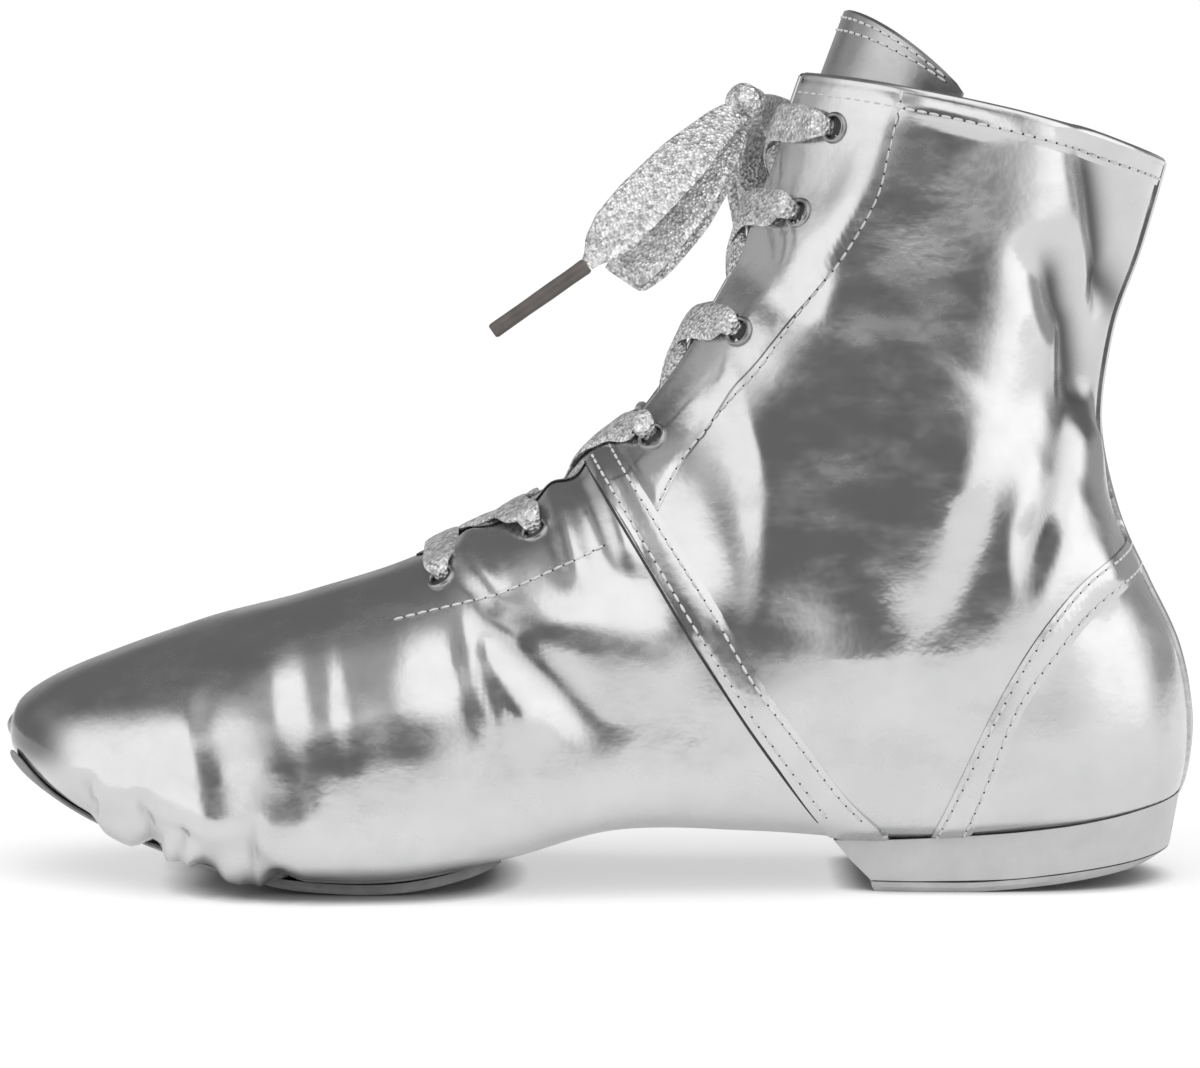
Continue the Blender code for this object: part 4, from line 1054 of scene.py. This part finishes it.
def bow_end(name, table, aglet, aglet_ends, side):
    path = even(curve_through(table, 120) * MM, BOW_STEP)
    share = np.linspace(0, 1, len(path))
    faces_to = np.repeat(bow_face(side)[None, :], len(path), axis=0)
    mesh = ribbon_mesh(path, faces_to, LACE_WIDTH * np.interp(share, *END_WIDTHS),
                       LACE_THICK * np.interp(share, *END_THICKS), curl=0.04)
    tip = add_piece("%s_tube" % aglet, *aglet_mesh(*aglet_ends), aglet_resin, "aglet_plastic", (aglet,), 50.0)
    lace_piece(name, "_ribbon", mesh)


def knot_wrap(axis, size, width):
    """Closed band of lace round the knot about one axis."""
    axis = unit(np.array(axis))
    one = unit(np.cross(axis, (0.3, 0.9, 0.2)))
    two = np.cross(axis, one)
    angles = np.linspace(0, 2 * math.pi, 36, endpoint=False)[:, None]
    faces_to = one * np.cos(angles) * size[0] + two * np.sin(angles) * size[1]
    places = (np.array(KNOT_AT) + faces_to) * MM
    return ribbon_mesh(places, unit(faces_to), width * MM, KNOT_THICK, closed=True, curl=-0.12)


lace_piece("lace_knot", "_wraps", join([knot_wrap(*wrap) for wrap in KNOT_WRAPS]))
bow_loop("lace_loop_outer", OUTER_LOOP, 1.0)
bow_loop("lace_loop_inner", INNER_LOOP, -1.0)
bow_end("lace_end_outer", OUTER_END, "aglet_outer", OUTER_AGLET, 1.0)
bow_end("lace_end_inner", INNER_END, "aglet_inner", INNER_AGLET, -1.0)


# Stitching

def side_line(line, outer, step=0.6):
    """Points and directions of a line seen from the side, laid on the finished surface."""
    flat = even(curve_through(line, 12 * len(line)), step)
    spots = [on_side(full_tree, x, z, outer) for x, z in flat]
    spots, outs = zip(*[spot for spot in spots if spot is not None])
    return np.array(spots), np.array(outs)


def moved(line, by):
    """A side line moved to its left by a distance."""
    flat = curve_through(line, 10 * len(line))
    way = unit(np.gradient(flat, axis=0))
    return [tuple(p) for p in (flat + by * np.stack((-way[:, 1], way[:, 0]), axis=1))[::4]]


def stitch_row(spots, outs):
    """Capsule stitches along one line, with dark dots of painted shade for the needle holes between them."""
    way = way_along(spots)
    rows = np.hstack((spots, outs))
    gap = 0.5 * (STITCH_PITCH - STITCH_LENGTH)
    for start in np.arange(int(way[-1] / STITCH_PITCH)) * STITCH_PITCH:
        ends = rows_along(start + np.array((gap, gap + STITCH_LENGTH, STITCH_PITCH)), way, rows)
        (a, b, c), (out_a, _, out_c) = ends[:, :3], unit(ends[:, 3:])
        if np.linalg.norm(b - a) > 1.6 * STITCH_LENGTH:
            continue
        table = [(a + share * (b - a) + out_a * STITCH_RADIUS * (0.55 * size - 0.15), out_a,
                  2 * STITCH_RADIUS * size, 1.5 * STITCH_RADIUS * size) for share, size in STITCH_SHAPE]
        all_stitches.append(ribbon_mesh(*ribbon_rows(table, len(table)), around=6))
        painted_shade_parts.append(turned_mesh(NEEDLE_HOLE_SHADE, c, out_c, 8))


# Stitched lines and how far each is moved to its left
STITCHED = ((BAND_FRONT, -1.7), (BAND_REAR, 1.2), (EYESTAY_SEAM, 1.1), (VAMP_STITCH, 0), (STRAP_UPPER, -1.3),
            (STRAP_LOWER, 1.3))
# Share of a stitch's length and its size there, then radius and height of the dark dot of painted shade in
# each needle hole
STITCH_SHAPE = ((0, 0.35), (0.12, 0.75), (0.35, 1), (0.65, 1), (0.88, 0.75), (1, 0.35))
NEEDLE_HOLE_SHADE = ((0, 0.06), (0.17, 0.05), (0.27, -0.03))
HEM_STITCH = 3.6 * MM
TONGUE_STITCHES = (1.4 * MM, 4.2 * MM)
# Painted shadow under the front edge of each band, a near-black line: how far it is moved, its width and
# thickness
BAND_SHADE_MOVED = 0.3
BAND_SHADE_SIZE = (0.6 * MM, 0.2 * MM)
all_stitches = []
painted_shade_parts = []
for outer in (True, False):
    edge = side_line(moved(BAND_FRONT, BAND_SHADE_MOVED), outer)
    painted_shade_parts.append(ribbon_mesh(*edge, *BAND_SHADE_SIZE, around=6))
for outer in (True, False):
    for line, by in STITCHED:
        stitch_row(*side_line(moved(line, by) if by else line, outer))
hem_spots = []
hem_outs = []
for j in range(COLUMNS):
    at = np.interp(HEM_STITCH, TO_COLLAR[::-1, j], np.arange(len(stations))[::-1])
    i = int(at)
    f = at - i
    hem_outs.append(FACE_NORMAL[i, j])
    hem_spots.append(FACE[i, j] * (1 - f) + FACE[i + 1, j] * f + FACE_NORMAL[i, j] * HEM_LIFT)
stitch_row(np.array(hem_spots), np.array(hem_outs))
for inset in TONGUE_STITCHES:
    line = tongue_edge + tongue_rise * (1.0 - inset / TONGUE_RISE)
    stitch_row(line[2:-2], tongue_out[-1][2:-2])
add_piece("stitching", *join(all_stitches), thread, "silver_upper")
# Near-black pieces of painted shade: needle holes and the line under each band's front edge
add_piece("painted_hole_and_edge_shade", *join(painted_shade_parts), shade, "sole_patch")


# Floor, light, camera

def floor_piece():
    """Paper that glows a little; ambient occlusion cuts its glow right beside the boot, a painted contact
    shadow.
    """
    left, right, back = -4.0, 4.0, -4.0
    corners = [(left, back, 0), (right, back, 0), (right, FLOOR_AHEAD, 0), (left, FLOOR_AHEAD, 0)]
    mesh = bpy.data.meshes.new("floor")
    mesh.from_pydata(corners, [], [(0, 1, 2, 3)])
    piece = bpy.data.objects.new("floor", mesh)
    bpy.context.collection.objects.link(piece)
    paper = matte("floor_paper", (0.455, 0.455, 0.455), (0.445, 0.445, 0.445), 0.8, 0.004, 0.00002)
    tree = paper.node_tree
    sockets = tree.nodes["Principled BSDF"].inputs
    # Painted contact shadow: ambient occlusion dims the glow right beside the boot
    near = node(tree, "ShaderNodeAmbientOcclusion", Distance=FLOOR_SHADOW_REACH).outputs["AO"]
    fill(tree, sockets["Emission Color"], (1.0, 1.0, 1.0))
    fill(tree, sockets["Emission Strength"], ranged(tree, near, 0.0, FLOOR_GLOW, *FLOOR_SHADOW_RANGE))
    mesh.materials.append(paper)


def add_sun():
    """Broad soft light from above that whitens the floor and stays out of the reflections."""
    sun = bpy.data.lights.new("soft_sun", "SUN")
    sun.energy = SUN_STRENGTH
    sun.angle = math.radians(70)
    thing = bpy.data.objects.new("soft_sun", sun)
    thing.rotation_euler = Vector((-0.15, -0.1, -1.0)).to_track_quat("-Z", "Y").to_euler()
    thing.visible_glossy = False
    bpy.context.collection.objects.link(thing)


def studio_world():
    """Soft studio: dim straight out from the outer side, bright above and beside that, dim elsewhere."""
    world = bpy.data.worlds.new("studio")
    world.use_nodes = True
    bpy.context.scene.world = world
    tree = world.node_tree
    tree.nodes.clear()

    def step(source, low, high, first, last):
        made = node(tree, "ShaderNodeMapRange", source, low, high, first, last,
                    interpolation_type="SMOOTHSTEP")
        return made.outputs["Result"]

    def math_of(operation, *given):
        return node(tree, "ShaderNodeMath", *given, operation=operation).outputs[0]

    def squared(source, middle, reach):
        share = math_of("MULTIPLY_ADD", source, 1.0 / reach, -middle / reach)
        return math_of("MULTIPLY", share, share)

    def blended(share, first, last):
        mix = node(tree, "ShaderNodeMix", share, data_type="FLOAT")
        fill(tree, mix.inputs[2], first)
        fill(tree, mix.inputs[3], last)
        return mix.outputs[0]

    where = node(tree, "ShaderNodeTexCoord").outputs["Generated"]
    east, north, up = node(tree, "ShaderNodeSeparateXYZ", where).outputs
    lit = STUDIO_LIGHT - STUDIO_DARK
    raised = math_of("MAXIMUM", up, 0.15)
    dark_spot = math_of("ADD", squared(east, 0.15, 0.50), squared(raised, 0.15, 0.33))
    fall = math_of("SUBTRACT", step(east, 0.10, 0.34, 1.0, 0.32), step(east, 0.45, 0.75, 0.0, 0.22))
    ceiling = math_of("MULTIPLY_ADD", fall, STUDIO_TOP, -STUDIO_DARK)
    walls = step(east, -0.80, -0.40, STUDIO_REAR_SHARE * lit, lit)
    ahead = math_of("MULTIPLY", step(dark_spot, 0.30, 1.75, 0.0, 1.0),
                    blended(step(up, 0.38, 0.62, 0.0, 1.0), walls, ceiling))
    toe_side = math_of("MULTIPLY", step(east, 0.50, 0.70, 0.0, 1.0), step(up, 0.46, 0.74, lit, 0.0))
    front = math_of("MAXIMUM", ahead, toe_side)
    rear_wall = step(up, 0.12, 0.42, STUDIO_BEHIND - STUDIO_DARK, 0.0)
    toe_wall = math_of("MULTIPLY", step(east, 0.55, 0.85, 0.0, 1.0),
                       step(up, 0.40, 0.65, STUDIO_TOE_WALL - STUDIO_DARK, 0.0))
    behind = math_of("MAXIMUM", rear_wall, toe_wall)
    seen = math_of("ADD", blended(step(north, -0.30, 0.25, 0.0, 1.0), behind, front), STUDIO_DARK)
    to_camera = node(tree, "ShaderNodeLightPath").outputs["Is Camera Ray"]
    background = node(tree, "ShaderNodeBackground", blended(to_camera, seen, 1.0)).outputs[0]
    node(tree, "ShaderNodeOutputWorld", background)


def add_camera():
    data = bpy.data.cameras.new("camera")
    data.lens = LENS
    data.sensor_width = 36.0
    data.sensor_fit = "HORIZONTAL"
    camera = bpy.data.objects.new("camera", data)
    eye = Vector(np.array(EYE) * MM - FRAME_ORIGIN)
    aim = Vector(np.array(AIM) * MM - FRAME_ORIGIN)
    camera.location = eye
    camera.rotation_euler = (aim - eye).to_track_quat("-Z", "Y").to_euler()
    bpy.context.collection.objects.link(camera)
    bpy.context.scene.camera = camera


floor_piece()
studio_world()
add_sun()
add_camera()
bpy.context.scene.view_settings.view_transform = "Standard"
